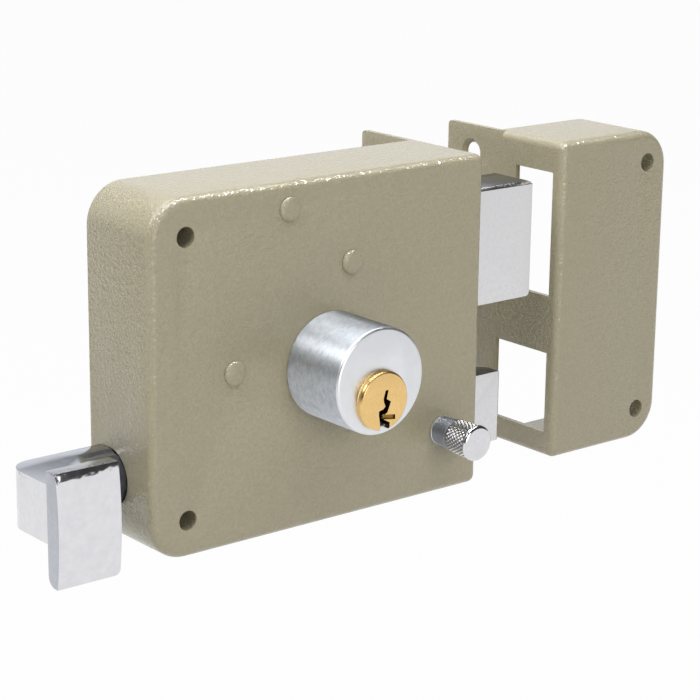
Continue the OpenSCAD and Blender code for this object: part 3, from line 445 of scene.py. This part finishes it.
class Paintshop:
    """Keeps one material of each finish and dresses pieces and CAD nodes with them."""

    def __init__(self) -> None:
        """Starts with no material made."""
        self.made: dict[Finish, bpy.types.Material] = {}

    def material(self, finish: Finish) -> bpy.types.Material:
        """Gives the material of a finish, made once.

        Args:
            finish: which finish.

        Returns:
            The material.
        """
        if finish not in self.made:
            self.made[finish] = finish.value.build()
        return self.made[finish]

    def dress(self, obj: bpy.types.Object, finish: Finish) -> None:
        """Gives an object one finish all over.

        Args:
            obj: a piece or a CAD node.
            finish: which finish.
        """
        obj.data.materials.clear()
        obj.data.materials.append(self.material(finish))

    def refinish(self, obj: bpy.types.Object, finish: Finish, pick: Spot) -> None:
        """Gives some faces of a piece another finish.

        Args:
            obj: the piece.
            finish: the other finish.
            pick: chooses a face by its centre, in mm, and its normal.
        """
        obj.data.materials.append(self.material(finish))
        for face in obj.data.polygons:
            if pick(face.center / MM, face.normal):
                face.material_index = len(obj.data.materials) - 1


def smooth_by_angle(obj: bpy.types.Object, degrees: float) -> None:
    """Shades faces smooth and keeps edges sharper than an angle.

    Args:
        obj: the piece.
        degrees: the angle.
    """
    mesh = obj.data
    mesh.polygons.foreach_set("use_smooth", [True] * len(mesh.polygons))
    mesh.set_sharp_from_angle(angle=math.radians(degrees))


def finished_object(name: str, bm: bmesh.types.BMesh, degrees: float = 38) -> bpy.types.Object:
    """Turns a bmesh to a smoothly shaded object at the origin.

    Args:
        name: the piece's name.
        bm: the mesh, freed here.
        degrees: edges sharper than this stay sharp.

    Returns:
        The object, linked to the scene.
    """
    mesh = bpy.data.meshes.new(name)
    bm.to_mesh(mesh)
    bm.free()
    obj = bpy.data.objects.new(name, mesh)
    bpy.context.scene.collection.objects.link(obj)
    smooth_by_angle(obj, degrees)
    return obj


def round_off(bm: bmesh.types.BMesh, edges: list[bmesh.types.BMEdge], reach: float,
              segments: int) -> None:
    """Rounds edges.

    Args:
        bm: the mesh.
        edges: the edges to round.
        reach: how far the rounding reaches from them, in mm.
        segments: rows of faces across it.
    """
    bmesh.ops.bevel(bm, geom=edges, offset=reach * MM, offset_type="OFFSET", segments=segments,
                    profile=0.5, affect="EDGES", clamp_overlap=True, material=-1)


def softened_copy(node: str, name: str, edge: float, rounded: dict[float, Spot],
                  shape: Shape | None = None) -> bpy.types.Object:
    """Copies a CAD node with its sharp edges rounded, as deburring and plating leave them.

    Args:
        node: the CAD node.
        name: the new piece's name.
        edge: how far the rounding reaches from the edge, in mm.
        rounded: wider roundings in mm, each with what picks its edges by middle and direction.
        shape: reshapes the copy before its edges are rounded.

    Returns:
        The new piece.
    """
    bm = bmesh.new()
    bm.from_mesh(frame["nodes"][node].data)
    bmesh.ops.remove_doubles(bm, verts=bm.verts, dist=WELD * MM)
    bmesh.ops.dissolve_limit(bm, angle_limit=math.radians(FLAT), verts=bm.verts, edges=bm.edges)
    if shape:
        shape(bm)

    def sharp_edges() -> list[bmesh.types.BMEdge]:
        """Lists the edges that are sharper than the crease."""
        return [e for e in bm.edges
                if len(e.link_faces) == 2 and e.calc_face_angle(0) > math.radians(CREASE)]

    for reach, pick in rounded.items():
        wide = [e for e in sharp_edges()
                if pick((e.verts[0].co + e.verts[1].co) / 2 / MM,
                        (e.verts[0].co - e.verts[1].co).normalized())]
        round_off(bm, wide, reach, segments=6)
    round_off(bm, sharp_edges(), edge, segments=3)
    return finished_object(name, bm)


@dataclass
class SubAssembly:
    """Pieces of one body that are CAD nodes with their edges softened."""

    shop: Paintshop
    body: str
    softened: dict[str, tuple[str, float]] = field(default_factory=dict)    # name and edge
    rounded: dict[str, dict[float, Spot]] = field(default_factory=dict)
    refinished: dict[str, list[tuple[Finish, Spot]]] = field(default_factory=dict)
    shaped: dict[str, Shape] = field(default_factory=dict)

    def place(self, piece: bpy.types.Object, node: str, finish: Finish | None = None) -> None:
        """Puts a new piece in the place of a CAD node.

        Args:
            piece: the new piece.
            node: the CAD node that it replaces.
            finish: its finish, or None for that of the node's slot.
        """
        slot = slot_of(node)
        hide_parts(node)
        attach(piece, self.body)
        self.shop.dress(piece, finish or SLOTS[slot])
        for variant, pick in self.refinished.get(node, []):
            self.shop.refinish(piece, variant, pick)
        log.info("%s: %d faces, in place of %s", piece.name, len(piece.data.polygons), node)

    def build(self) -> None:
        """Makes the softened pieces."""
        for node, (name, edge) in self.softened.items():
            piece = softened_copy(node, name, edge, self.rounded.get(node, {}),
                                  self.shaped.get(node))
            self.place(piece, node)


@dataclass
class Case(SubAssembly):
    """The painted case with its posts and back plate, and the turned chrome housing."""

    body: str = "case"
    end_y: float = -45.0     # y that only the housing's rim and end reach
    rim_lean: float = 0.2    # how far the rim's faces turn to the front at least
    end_lean: float = 0.99   # the same for the flat end

    def __post_init__(self) -> None:
        """Lists the pieces, and the faces with a finish of their own."""
        self.softened = {
            "case_cover": ("painted_case", 0.18), "back_plate": ("closing_plate", 0.12),
            "housing_sleeve": ("chrome_housing", 0.32), "upper_post": ("upper_rivet_post", 0.25),
            "slot_post": ("slot_rivet_post", 0.25), "lower_post": ("lower_rivet_post", 0.25),
            "back_plate_screws": ("plate_screws", 0.08)}
        self.refinished = {
            "housing_sleeve": [
                (Finish.RIM, lambda at, way: at.y < self.end_y and way.y < -self.rim_lean),
                (Finish.END, lambda at, way: way.y < -self.end_lean)],
            "back_plate_screws": [(Finish.SPRING, lambda at, way: True)]}


@dataclass
class ScrewCollars(SubAssembly):
    """Painted collars drawn inwards round a front's screw holes, which guide the screws."""

    holes: tuple[tuple[float, float], ...] = ((-42.8, 42.0), (-42.8, -27.0))    # x and z, in mm
    sheet_y: float = -24.45    # y just inside the sheet
    lap: float = 0.1           # how far a collar reaches into the sheet
    hole_r: float = 2.5
    outer_r: float = 3.3
    length: float = 6.0
    chamfers: tuple[float, float] = (0.2, 0.3)    # at its end, inside and outside
    steps: int = 48            # faces round it

    def build(self) -> None:
        """Spins one collar for each hole, as one piece."""
        bm = bmesh.new()
        near, far = self.sheet_y - self.lap, self.sheet_y + self.length
        inside, outside = self.chamfers
        outline = [(self.hole_r, near), (self.outer_r, near), (self.outer_r, far - outside),
                   (self.outer_r - outside, far), (self.hole_r + inside, far),
                   (self.hole_r, far - inside)]
        for x, z in self.holes:
            points = [bm.verts.new(((x + r) * MM, y * MM, z * MM)) for r, y in outline]
            ring = [bm.edges.new(pair) for pair in zip(points, points[1:] + points[:1])]
            bmesh.ops.spin(bm, geom=points + ring, cent=(x * MM, 0, z * MM), axis=(0, 1, 0),
                           angle=math.tau, steps=self.steps, use_merge=True, use_duplicate=False)
        bmesh.ops.recalc_face_normals(bm, faces=bm.faces)
        piece = finished_object(self.body + "_screw_collars", bm)
        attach(piece, self.body)
        self.shop.dress(piece, Finish.PAINT)
        log.info("%s: %d faces", piece.name, len(piece.data.polygons))


@dataclass
class Bolt(SubAssembly):
    """The thrown bolt, milled on top and painted darker there as shade, with its upper front edge
    well broken.
    """

    body: str = "bolt"
    broken: float = 0.8      # reach of that edge's rounding, in mm
    front_y: float = -21.3   # y and z that only that edge reaches
    top_z: float = 41.3

    def __post_init__(self) -> None:
        """Lists the piece, its rounder edge and its milled face."""
        self.softened = {"dead_bolt": ("thrown_bolt", 0.30)}
        self.rounded = {"dead_bolt": {self.broken: lambda at, way: (
            abs(way.x) > FACING and at.y < self.front_y and at.z > self.top_z)}}
        # Its top gets the darker finish, painted shade.
        self.refinished = {"dead_bolt": [TOPS_PAINTED_SHADE]}


@dataclass(frozen=True)
class PolishedPlate:
    """The pull's finger plate, whose top edge the polishing wheel has drawn back."""

    top: float = -8.0        # z of the plate's top
    front: float = -25.5     # y that only the plate's front reaches
    back: float = -22.5      # y of the plate's back
    reach: float = 2.4       # how far down the wheel has reached at the outer end, in mm
    inner_reach: float = 1.0    # the same at the end next to the case
    outer: float = -79.4     # x of the plate's outer end
    inner: float = -62.4     # x of the end next to the case
    radius: float = 5.5      # of the drawn edge
    bands: int = 6           # rows of faces in it

    def draw_back(self, bm: bmesh.types.BMesh) -> None:
        """Cuts the front into bands near its top and leans them back, band by band.

        Args:
            bm: the pull's mesh.
        """
        def cut(place: tuple[float, float, float], way: tuple[float, float, float]) -> None:
            """Cuts all faces along the plane through a place, in mm, with that normal."""
            geom = list(bm.verts) + list(bm.edges) + list(bm.faces)
            bmesh.ops.bisect_plane(bm, geom=geom, dist=WELD / 2 * MM, plane_no=way,
                                   plane_co=Vector(place) * MM)

        cut((0, self.back, 0), (0, 1, 0))
        for band in range(self.bands):
            cut((0, 0, self.top - self.reach * (1 - band / self.bands)), (0, 0, 1))
        for vert in bm.verts:
            share = (vert.co.x / MM - self.outer) / (self.inner - self.outer)
            reach = self.reach + share * (self.inner_reach - self.reach)
            up = vert.co.z / MM - self.top + reach
            if vert.co.y < self.front * MM and up > 0:
                sag = self.radius - math.sqrt(self.radius ** 2 - up ** 2)
                bmesh.ops.translate(bm, verts=[vert], vec=(0, sag * MM, 0))


@dataclass
class Latch(SubAssembly):
    """The bevelled latch and the cast finger pull, polished but for its neck; the latch's top, the
    arm's top and the neck carry painted shade.
    """

    body: str = "latch"
    plate: PolishedPlate = PolishedPlate()
    corner: float = 1.4      # reach of the rounding of the plate's lower inner corner
    arm_z: float = -25.7     # z below which there is no arm behind the plate
    foot_z: float = -34.0    # z of the plate's lower end, where that corner is
    slant: float = 0.15      # share of y under which the front's own edges stay
    near: float = 0.1        # what tells a place from one of the plate's planes, in mm

    def on_corner(self, at: Vector, way: Vector) -> bool:
        """Picks the edges round the plate's lower inner corner, from its front to the arm.

        Args:
            at: an edge's middle, in mm.
            way: its direction.

        Returns:
            Whether the edge belongs to the corner.
        """
        inner = abs(at.x - self.plate.inner) < 2 * self.near and at.z < self.arm_z
        behind = at.y > self.plate.back - 2 * self.near
        return inner and (behind or abs(way.y) > self.slant and at.z < self.foot_z)

    def __post_init__(self) -> None:
        """Lists the pieces, the drawn plate and the faces with a finish of their own."""
        front, inner = self.plate.back - self.near, self.plate.inner + self.near
        self.softened = {
            "latch_bolt": ("bevelled_latch", 0.22), "finger_pull": ("cast_finger_pull", 0.35)}
        self.rounded = {"finger_pull": {self.corner: self.on_corner}}
        self.shaped = {"finger_pull": self.plate.draw_back}
        # Painted shade: a darker blue-grey on the latch's top, a darker chrome on the arm's top
        # and a dark grey on the neck.
        self.refinished = {
            "latch_bolt": [TOPS_PAINTED_SHADE],
            "finger_pull": [
                (Finish.LINISHED, lambda at, way: at.y < front and way.x < -FACING),
                (Finish.LINISHED, lambda at, way: at.y < front and way.z > FACING),
                (Finish.ARM_TOP_SHADE, lambda at, way: at.y > front and way.z > FACING),
                (Finish.DULL_SHADE, lambda at, way: at.x > inner and way.z < FACING)]}


@dataclass
class Plug(SubAssembly):
    """The turned key plug with its rounded rim, keyway and milled recess, the last two painted
    dark as shade.
    """

    body: str = "plug"
    rim: float = 0.6         # reach of the rim's rounding, in mm
    head_r: float = 7.2      # radius that only the head's side and rim reach
    side_r: float = 7.25     # radius that only the head's side reaches
    face_y: float = -47.1    # y that only the head's face and rim reach
    inside_y: float = -47.0  # y behind the face
    floor_y: float = -44.0   # y behind the recess's floor

    def __post_init__(self) -> None:
        """Lists the piece, its rounder rim and the faces of its openings."""
        self.softened = {"key_plug": ("turned_key_plug", 0.10)}
        self.rounded = {"key_plug": {self.rim: lambda at, way: (
            at.y < self.face_y and math.hypot(at.x, at.z) > self.head_r)}}
        # The keyway and the recess's floor are painted darker: painted shade.
        self.refinished = {"key_plug": [
            (Finish.KEYWAY_SHADE, lambda at, way: (
                at.y > self.inside_y and math.hypot(at.x, at.z) < self.side_r)),
            (Finish.RECESS_SHADE, lambda at, way: (
                self.inside_y < at.y < self.floor_y and way.y < -FACING
                and math.hypot(at.x, at.z) < self.head_r))]}


@dataclass
class LatchSpring(SubAssembly):
    """The coil spring that throws the latch, and shortens when the latch slides in."""

    body: str = "case"
    wire: float = 0.9
    turns: int = 8           # the first and the last lie closed
    steps: int = 28          # faces along a turn
    sides: int = 10          # faces round the wire
    travel: float = 11.5     # of the latch, with some play

    def wind(self, low: Vector, high: Vector) -> bmesh.types.BMesh:
        """Winds the wire between two corners.

        Args:
            low: the lowest corner of the spring's room.
            high: its highest corner.

        Returns:
            The spring's mesh.
        """
        wire = self.wire * MM
        middle = (low + high) / 2
        start = (low.x + wire / 2, middle.y, high.z - wire / 2)
        open_turns = self.turns - 2
        pitch = (high.x - low.x - 3 * wire) / open_turns
        bm = bmesh.new()
        bmesh.ops.create_circle(bm, segments=self.sides, radius=wire / 2,
                                matrix=Matrix.Translation(start) @ Matrix.Rotation(
                                    math.pi / 2, 4, "X"))
        last = bm.verts[:] + bm.edges[:]
        for turns, rise in ((1, wire), (open_turns, pitch), (1, wire)):
            last = bmesh.ops.spin(bm, geom=last, cent=middle, axis=(-1, 0, 0),
                                  dvec=(rise / self.steps, 0, 0), angle=math.tau * turns,
                                  steps=self.steps * turns)["geom_last"]
        ends = [e for e in bm.edges if e.is_boundary]
        bmesh.ops.holes_fill(bm, edges=ends, sides=self.sides)
        bmesh.ops.recalc_face_normals(bm, faces=bm.faces)
        return bm

    def build(self) -> None:
        """Makes the spring and gives it a mesh of its own."""
        low, high = (Vector(corner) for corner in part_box("latch_spring"))
        piece = finished_object("latch_coil_spring", self.wind(low, high))
        self.place(piece, "latch_spring")
        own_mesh(piece)


@dataclass
class SnibKnob(SubAssembly):
    """The small conical knob: plain neck, diamond-knurled grip and a faced end."""

    body: str = "snib"
    front: float = -26.05    # y of the knob's seat
    base_r: float = 3.7
    collar: float = 0.7      # length of the bright ring at the base
    nick: float = 0.1        # chamfers and grooves of the neck
    neck_r: float = 4.15
    neck_l: float = 6.0
    grip_r: tuple[float, float] = (4.30, 4.65)       # over the crests, from start to end
    grip_gaps: tuple[float, float] = (0.20, 0.15)    # plain rings before and after the grip
    rim_r: float = 4.7
    rim_round: float = 0.9   # radius of the polished rim
    rim_steps: int = 8       # faces across it
    length: float = 14.65
    dish: tuple[tuple[float, float], ...] = (        # radius and depth of the faced end
        (3.3, 0.0), (3.1, 0.05), (0.7, 0.07), (0.4, 0.10), (0.0, 0.13))
    teeth: int = 26          # diamonds round the knob, 1.1 mm apart
    rows: int = 10           # half rows of diamonds along the grip
    depth: float = 0.30      # height of the diamonds
    sharp: float = 16        # degrees over which an edge is drawn sharp, as the diamonds' are

    @property
    def grip(self) -> tuple[float, float]:
        """Where the grip starts and ends, from the seat."""
        before, after = self.grip_gaps
        return self.neck_l + before, self.length - self.rim_round - after

    def profile(self) -> list[tuple[float, float]]:
        """Draws the lathe profile.

        Returns:
            Its points as radius and distance from the seat, in mm.
        """
        base, neck, nick = self.base_r, self.neck_r, self.nick
        foot = [(0, 0), (base - nick / 2, 0), (base, nick), (base, self.collar - nick),
                (base - nick, self.collar), (base - nick / 2, self.collar + nick),
                (neck, self.neck_l - nick), (neck - nick, self.neck_l)]
        start, end = self.grip
        start_r, end_r = (r - self.depth for r in self.grip_r)
        shares = (row / self.rows for row in range(self.rows + 1))
        grip = [(start_r + (end_r - start_r) * share, start + (end - start) * share)
                for share in shares]
        turns = (math.pi / 2 * step / self.rim_steps for step in range(self.rim_steps + 1))
        rim = [(self.rim_r - self.rim_round * (1 - math.cos(turn)),
                self.length - self.rim_round * (1 - math.sin(turn))) for turn in turns]
        face = [(r, self.length - sunk) for r, sunk in self.dish]
        return foot + grip + rim + face

    def lathe(self) -> bmesh.types.BMesh:
        """Spins the profile round the knob's axis, placed at the origin.

        Returns:
            The turned knob, without its knurl.
        """
        bm = bmesh.new()
        points = [bm.verts.new((r * MM, (self.front - y) * MM, 0)) for r, y in self.profile()]
        chain = [bm.edges.new(pair) for pair in zip(points, points[1:])]
        bmesh.ops.spin(bm, geom=points + chain, cent=(0, 0, 0), axis=(0, 1, 0),
                       angle=math.tau, steps=self.teeth * 2, use_merge=True, use_duplicate=False)
        bmesh.ops.remove_doubles(bm, verts=bm.verts, dist=WELD * MM)
        return bm

    def knurl(self, bm: bmesh.types.BMesh) -> None:
        """Raises every other vertex of the grip and folds the faces to diamonds.

        Args:
            bm: the turned knob; its vertices get the crest attribute.
        """
        crest = bm.verts.layers.float.new("crest")
        start, end = self.grip
        step = (end - start) / self.rows
        slack = 0.1    # of a row
        valleys: set[bmesh.types.BMVert] = set()
        for vert in bm.verts:
            row = (self.front - vert.co.y / MM - start) / step
            if -slack < row < self.rows + slack:
                tooth = math.atan2(vert.co.z, vert.co.x) / math.tau * self.teeth * 2
                if (round(row) + round(tooth)) % 2:
                    valleys.add(vert)
                elif slack < row < self.rows - slack:
                    # The crest value gives this point the knurl's painted highlight; the valleys
                    # keep 0, painted shade.
                    vert[crest] = 1.0
                    out = Vector((vert.co.x, 0, vert.co.z)).normalized()
                    bmesh.ops.translate(bm, verts=[vert], vec=out * self.depth * MM)
        for face in list(bm.faces):
            pair = [v for v in face.verts if v in valleys]
            if len(pair) == 2 and len(face.verts) == 4 and not bm.edges.get(pair):
                bmesh.utils.face_split(face, *pair)

    def build(self) -> None:
        """Makes the knob, bright at its face and dull at its neck, where a darker grey is painted
        shade.
        """
        bm = self.lathe()
        self.knurl(bm)
        bmesh.ops.translate(bm, verts=bm.verts, vec=(SNIB_X * MM, 0, SNIB_Z * MM))
        bmesh.ops.recalc_face_normals(bm, faces=bm.faces)
        start, end = (self.front - y for y in self.grip)
        # The neck's darker grey is painted shade; the knurl's tones carry painted highlight and
        # shade.
        self.refinished["snib_knob"] = [
            (Finish.END, lambda at, way: at.y > self.front - self.collar),
            (Finish.KNOB_NECK_SHADE, lambda at, way: start < at.y < self.front - self.collar),
            (Finish.KNURL, lambda at, way: end < at.y < start)]
        piece = finished_object("knurled_snib_knob", bm, self.sharp)
        self.place(piece, "snib_knob", Finish.FACED)


@dataclass(frozen=True)
class Softbox:
    """A rectangular lamp that points at the lock."""

    name: str
    place: tuple[float, float, float]    # its centre, in metres
    size: tuple[float, float]            # its width and height, in metres
    watts: float
    gleam: bool = False                  # whether it lights only the gloss of painted steel
    target: tuple[float, float, float] = (0.02, -0.01, 0.0)    # near the lock's middle, in metres

    def build(self) -> None:
        """Hangs the lamp."""
        data = bpy.data.lights.new(self.name, "AREA")
        data.shape, data.energy = "RECTANGLE", self.watts
        data.size, data.size_y = self.size
        obj = bpy.data.objects.new(self.name, data)
        obj.location = self.place
        aim = Vector(self.target) - Vector(self.place)
        obj.rotation_mode = "QUATERNION"
        obj.rotation_quaternion = aim.to_track_quat("-Z", "Y")
        if self.gleam:
            obj.visible_diffuse = False
            painted = bpy.data.collections.new("painted_steel")
            for piece in bpy.context.scene.objects:
                if OrangePeelPaint.name in piece.material_slots:
                    painted.objects.link(piece)
            obj.light_linking.receiver_collection = painted
        bpy.context.scene.collection.objects.link(obj)


@dataclass
class Studio:
    """Camera, lamps and floor for a plain product picture.

    Places are in metres, and a level of 1 is white. Heights and turns in the surround are the
    z and the y of a look's direction.
    """

    camera_place: tuple[float, float, float] = (-0.326697, -0.434289, 0.153537)
    yaw: float = 39.202      # degrees to the right of +Y
    pitch: float = -15.542
    roll: float = 0.684
    lens: float = 113.69
    sensor: float = 36.0
    clip: tuple[float, float] = (0.01, 20.0)
    floor_z: float = -0.150
    floor_half: float = 6.0
    floor_level: float = 0.97    # to the camera and to metal
    card_low: tuple[float, float, float] = (-0.45, 0.24, -0.12)
    card_high: tuple[float, float, float] = (-0.45, 1.40, 0.03)    # with the same x
    table: float = 0.82      # what metal sees below the horizon
    horizon: tuple[float, float] = (-0.02, 0.03)     # heights of its soft edge
    wall: tuple[float, float] = (1.0, 0.34)          # behind the lock, low and high up
    wall_rise: tuple[float, float] = (0.34, 0.52)    # heights between which it darkens
    room: float = 0.05       # on the camera's side
    room_turn: tuple[float, float] = (0.0, 0.7)      # turns between which it becomes the wall
    surround: float = 0.22   # what paint gets from all round
    lamps: tuple[Softbox, ...] = (
        Softbox("front_top_gleam", (0.09, -0.34, 0.82), (1.06, 0.13), 14.5, True),
        Softbox("front_top_strip", (0.16, -0.32, 0.80), (0.95, 0.07), 2.4),
        Softbox("overhead_softbox", (-0.13, 0.10, 0.82), (0.50, 0.50), 2.3),
        Softbox("left_top_softbox", (-0.63, -0.02, 0.64), (0.60, 0.30), 4.2),
        Softbox("back_softbox", (0.05, 0.55, 0.95), (1.20, 0.50), 5.0),
        Softbox("front_softbox", (-0.14, -1.00, 0.22), (0.50, 0.50), 3.7))

    def camera(self) -> None:
        """Places the camera at the picture's viewing angle."""
        yaw, pitch, roll = (math.radians(a) for a in (self.yaw, self.pitch, self.roll))
        ahead = Vector((math.sin(yaw) * math.cos(pitch), math.cos(yaw) * math.cos(pitch),
                        math.sin(pitch)))
        right = Vector((math.cos(yaw), -math.sin(yaw), 0))
        up = right.cross(ahead)
        right, up = (math.cos(roll) * right + math.sin(roll) * up,
                     math.cos(roll) * up - math.sin(roll) * right)
        data = bpy.data.cameras.new("camera")
        data.lens, data.sensor_width = self.lens, self.sensor
        data.clip_start, data.clip_end = self.clip
        obj = bpy.data.objects.new("camera", data)
        obj.matrix_world = Matrix.Translation(self.camera_place) @ Matrix(
            (right, up, -ahead)).transposed().to_4x4()
        bpy.context.scene.collection.objects.link(obj)
        bpy.context.scene.camera = obj

    def flag(self) -> None:
        """Stands up a matt black card that only reflections see: it gives chrome a dark edge."""
        low, high = Vector(self.card_low), Vector(self.card_high)
        bm = bmesh.new()
        bmesh.ops.create_grid(bm, x_segments=1, y_segments=1, size=0.5)
        bmesh.ops.rotate(bm, verts=bm.verts, matrix=Matrix.Rotation(math.pi / 2, 3, "Y"))
        bmesh.ops.scale(bm, verts=bm.verts, vec=(1, high.y - low.y, high.z - low.z))
        bmesh.ops.translate(bm, verts=bm.verts, vec=(low + high) / 2)
        card = finished_object("left_flag", bm)
        material, tree, output = new_material("black_card")
        matt = add_node(tree, "ShaderNodeBsdfDiffuse", {"Color": linear("#303236")})
        tree.links.new(matt.outputs[0], output.inputs["Surface"])
        card.data.materials.append(material)
        card.visible_camera = card.visible_diffuse = card.visible_shadow = False
        card.visible_transmission = card.visible_volume_scatter = False

    def world(self) -> None:
        """Makes the surround: white to the camera, a studio to metal, plain light to paint.

        Metal sees what stands round such a picture: the white table below the horizon, a white
        wall behind the object that darkens higher up, and the dark room on the camera's side.
        """
        world = bpy.data.worlds.new("studio")
        bpy.context.scene.world = world
        world.use_nodes = True
        tree = world.node_tree
        tree.nodes.clear()
        split = add_node(tree, "ShaderNodeSeparateXYZ", {
            0: add_node(tree, "ShaderNodeTexCoord").outputs["Generated"]})
        above = add_node(tree, "ShaderNodeMapRange", {
            "Value": split.outputs["Z"], "From Min": self.horizon[0], "From Max": self.horizon[1]})
        top = add_node(tree, "ShaderNodeMapRange", {
            "Value": split.outputs["Z"], "From Min": self.wall_rise[0],
            "From Max": self.wall_rise[1], "To Min": self.wall[0], "To Max": self.wall[1]})
        behind = add_node(tree, "ShaderNodeMapRange", {
            "Value": split.outputs["Y"], "From Min": self.room_turn[0],
            "From Max": self.room_turn[1], "To Min": self.room, "To Max": top.outputs["Result"]})
        level = add_node(tree, "ShaderNodeMapRange", {
            "Value": above.outputs["Result"], "To Min": self.table,
            "To Max": behind.outputs["Result"]})
        paths = add_node(tree, "ShaderNodeLightPath").outputs
        plain = add_node(tree, "ShaderNodeBackground", {
            "Color": (1, 1, 1, 1), "Strength": self.surround})
        studio = add_node(tree, "ShaderNodeBackground", {
            "Color": (1, 1, 1, 1), "Strength": level.outputs["Result"]})
        white = add_node(tree, "ShaderNodeBackground", {"Color": (1, 1, 1, 1), "Strength": 1.0})
        metal = add_node(tree, "ShaderNodeMixShader", {
            0: paths["Is Glossy Ray"], 1: plain.outputs[0], 2: studio.outputs[0]})
        seen = add_node(tree, "ShaderNodeMath", {
            0: paths["Is Camera Ray"], 1: paths["Is Transmission Ray"]}, operation="MAXIMUM")
        mixed = add_node(tree, "ShaderNodeMixShader", {
            0: seen.outputs[0], 1: metal.outputs[0], 2: white.outputs[0]})
        add_node(tree, "ShaderNodeOutputWorld", {"Surface": mixed.outputs[0]})

    def floor(self) -> None:
        """Lays a matt white floor well below the lock, which hangs on a door in use."""
        bm = bmesh.new()
        bmesh.ops.create_grid(bm, x_segments=1, y_segments=1, size=self.floor_half)
        bmesh.ops.translate(bm, verts=bm.verts, vec=(0, 0, self.floor_z))
        floor = finished_object("floor", bm)
        material, tree, output = new_material("white_floor")
        paths = add_node(tree, "ShaderNodeLightPath").outputs
        seen = add_node(tree, "ShaderNodeMath", {
            0: paths["Is Camera Ray"], 1: paths["Is Glossy Ray"]}, operation="MAXIMUM")
        share = add_node(tree, "ShaderNodeMath", {
            0: seen.outputs[0], 1: self.floor_level}, operation="MULTIPLY")
        matt = add_node(tree, "ShaderNodeBsdfDiffuse", {"Color": linear("#BEBEBE")})
        glow = add_node(tree, "ShaderNodeEmission", {"Color": (1, 1, 1, 1), "Strength": 1.0})
        both = add_node(tree, "ShaderNodeMixShader", {
            0: share.outputs[0], 1: matt.outputs[0], 2: glow.outputs[0]})
        tree.links.new(both.outputs[0], output.inputs["Surface"])
        floor.data.materials.append(material)

    def build(self) -> None:
        """Sets the picture up."""
        self.camera()
        for lamp in self.lamps:
            lamp.build()
        self.flag()
        self.world()
        self.floor()
        bpy.context.scene.view_settings.view_transform = "Standard"


def carry_over(shop: Paintshop) -> None:
    """Dresses every CAD node with the finish of its slot; pieces then replace some of them.

    Args:
        shop: the finishes.
    """
    for node, obj in frame["nodes"].items():
        shop.dress(obj, SLOTS[slot_of(node)])
        log.info("%s: dressed", node)


def main() -> None:
    """Builds the lock's looks and the studio."""
    logging.basicConfig(level=logging.INFO, format="%(message)s")
    shop = Paintshop()
    carry_over(shop)
    Case(shop).build()
    ScrewCollars(shop, "case").build()
    ScrewCollars(shop, "strike", holes=((110.6, 42.5), (110.6, -27.5)), sheet_y=-23.65).build()
    Bolt(shop).build()
    Latch(shop).build()
    Plug(shop).build()
    LatchSpring(shop).build()
    SnibKnob(shop).build()
    SubAssembly(shop, "strike", {"strike_box": ("painted_strike", 0.18)}).build()
    Studio().build()


if __name__ == "__main__":
    main()
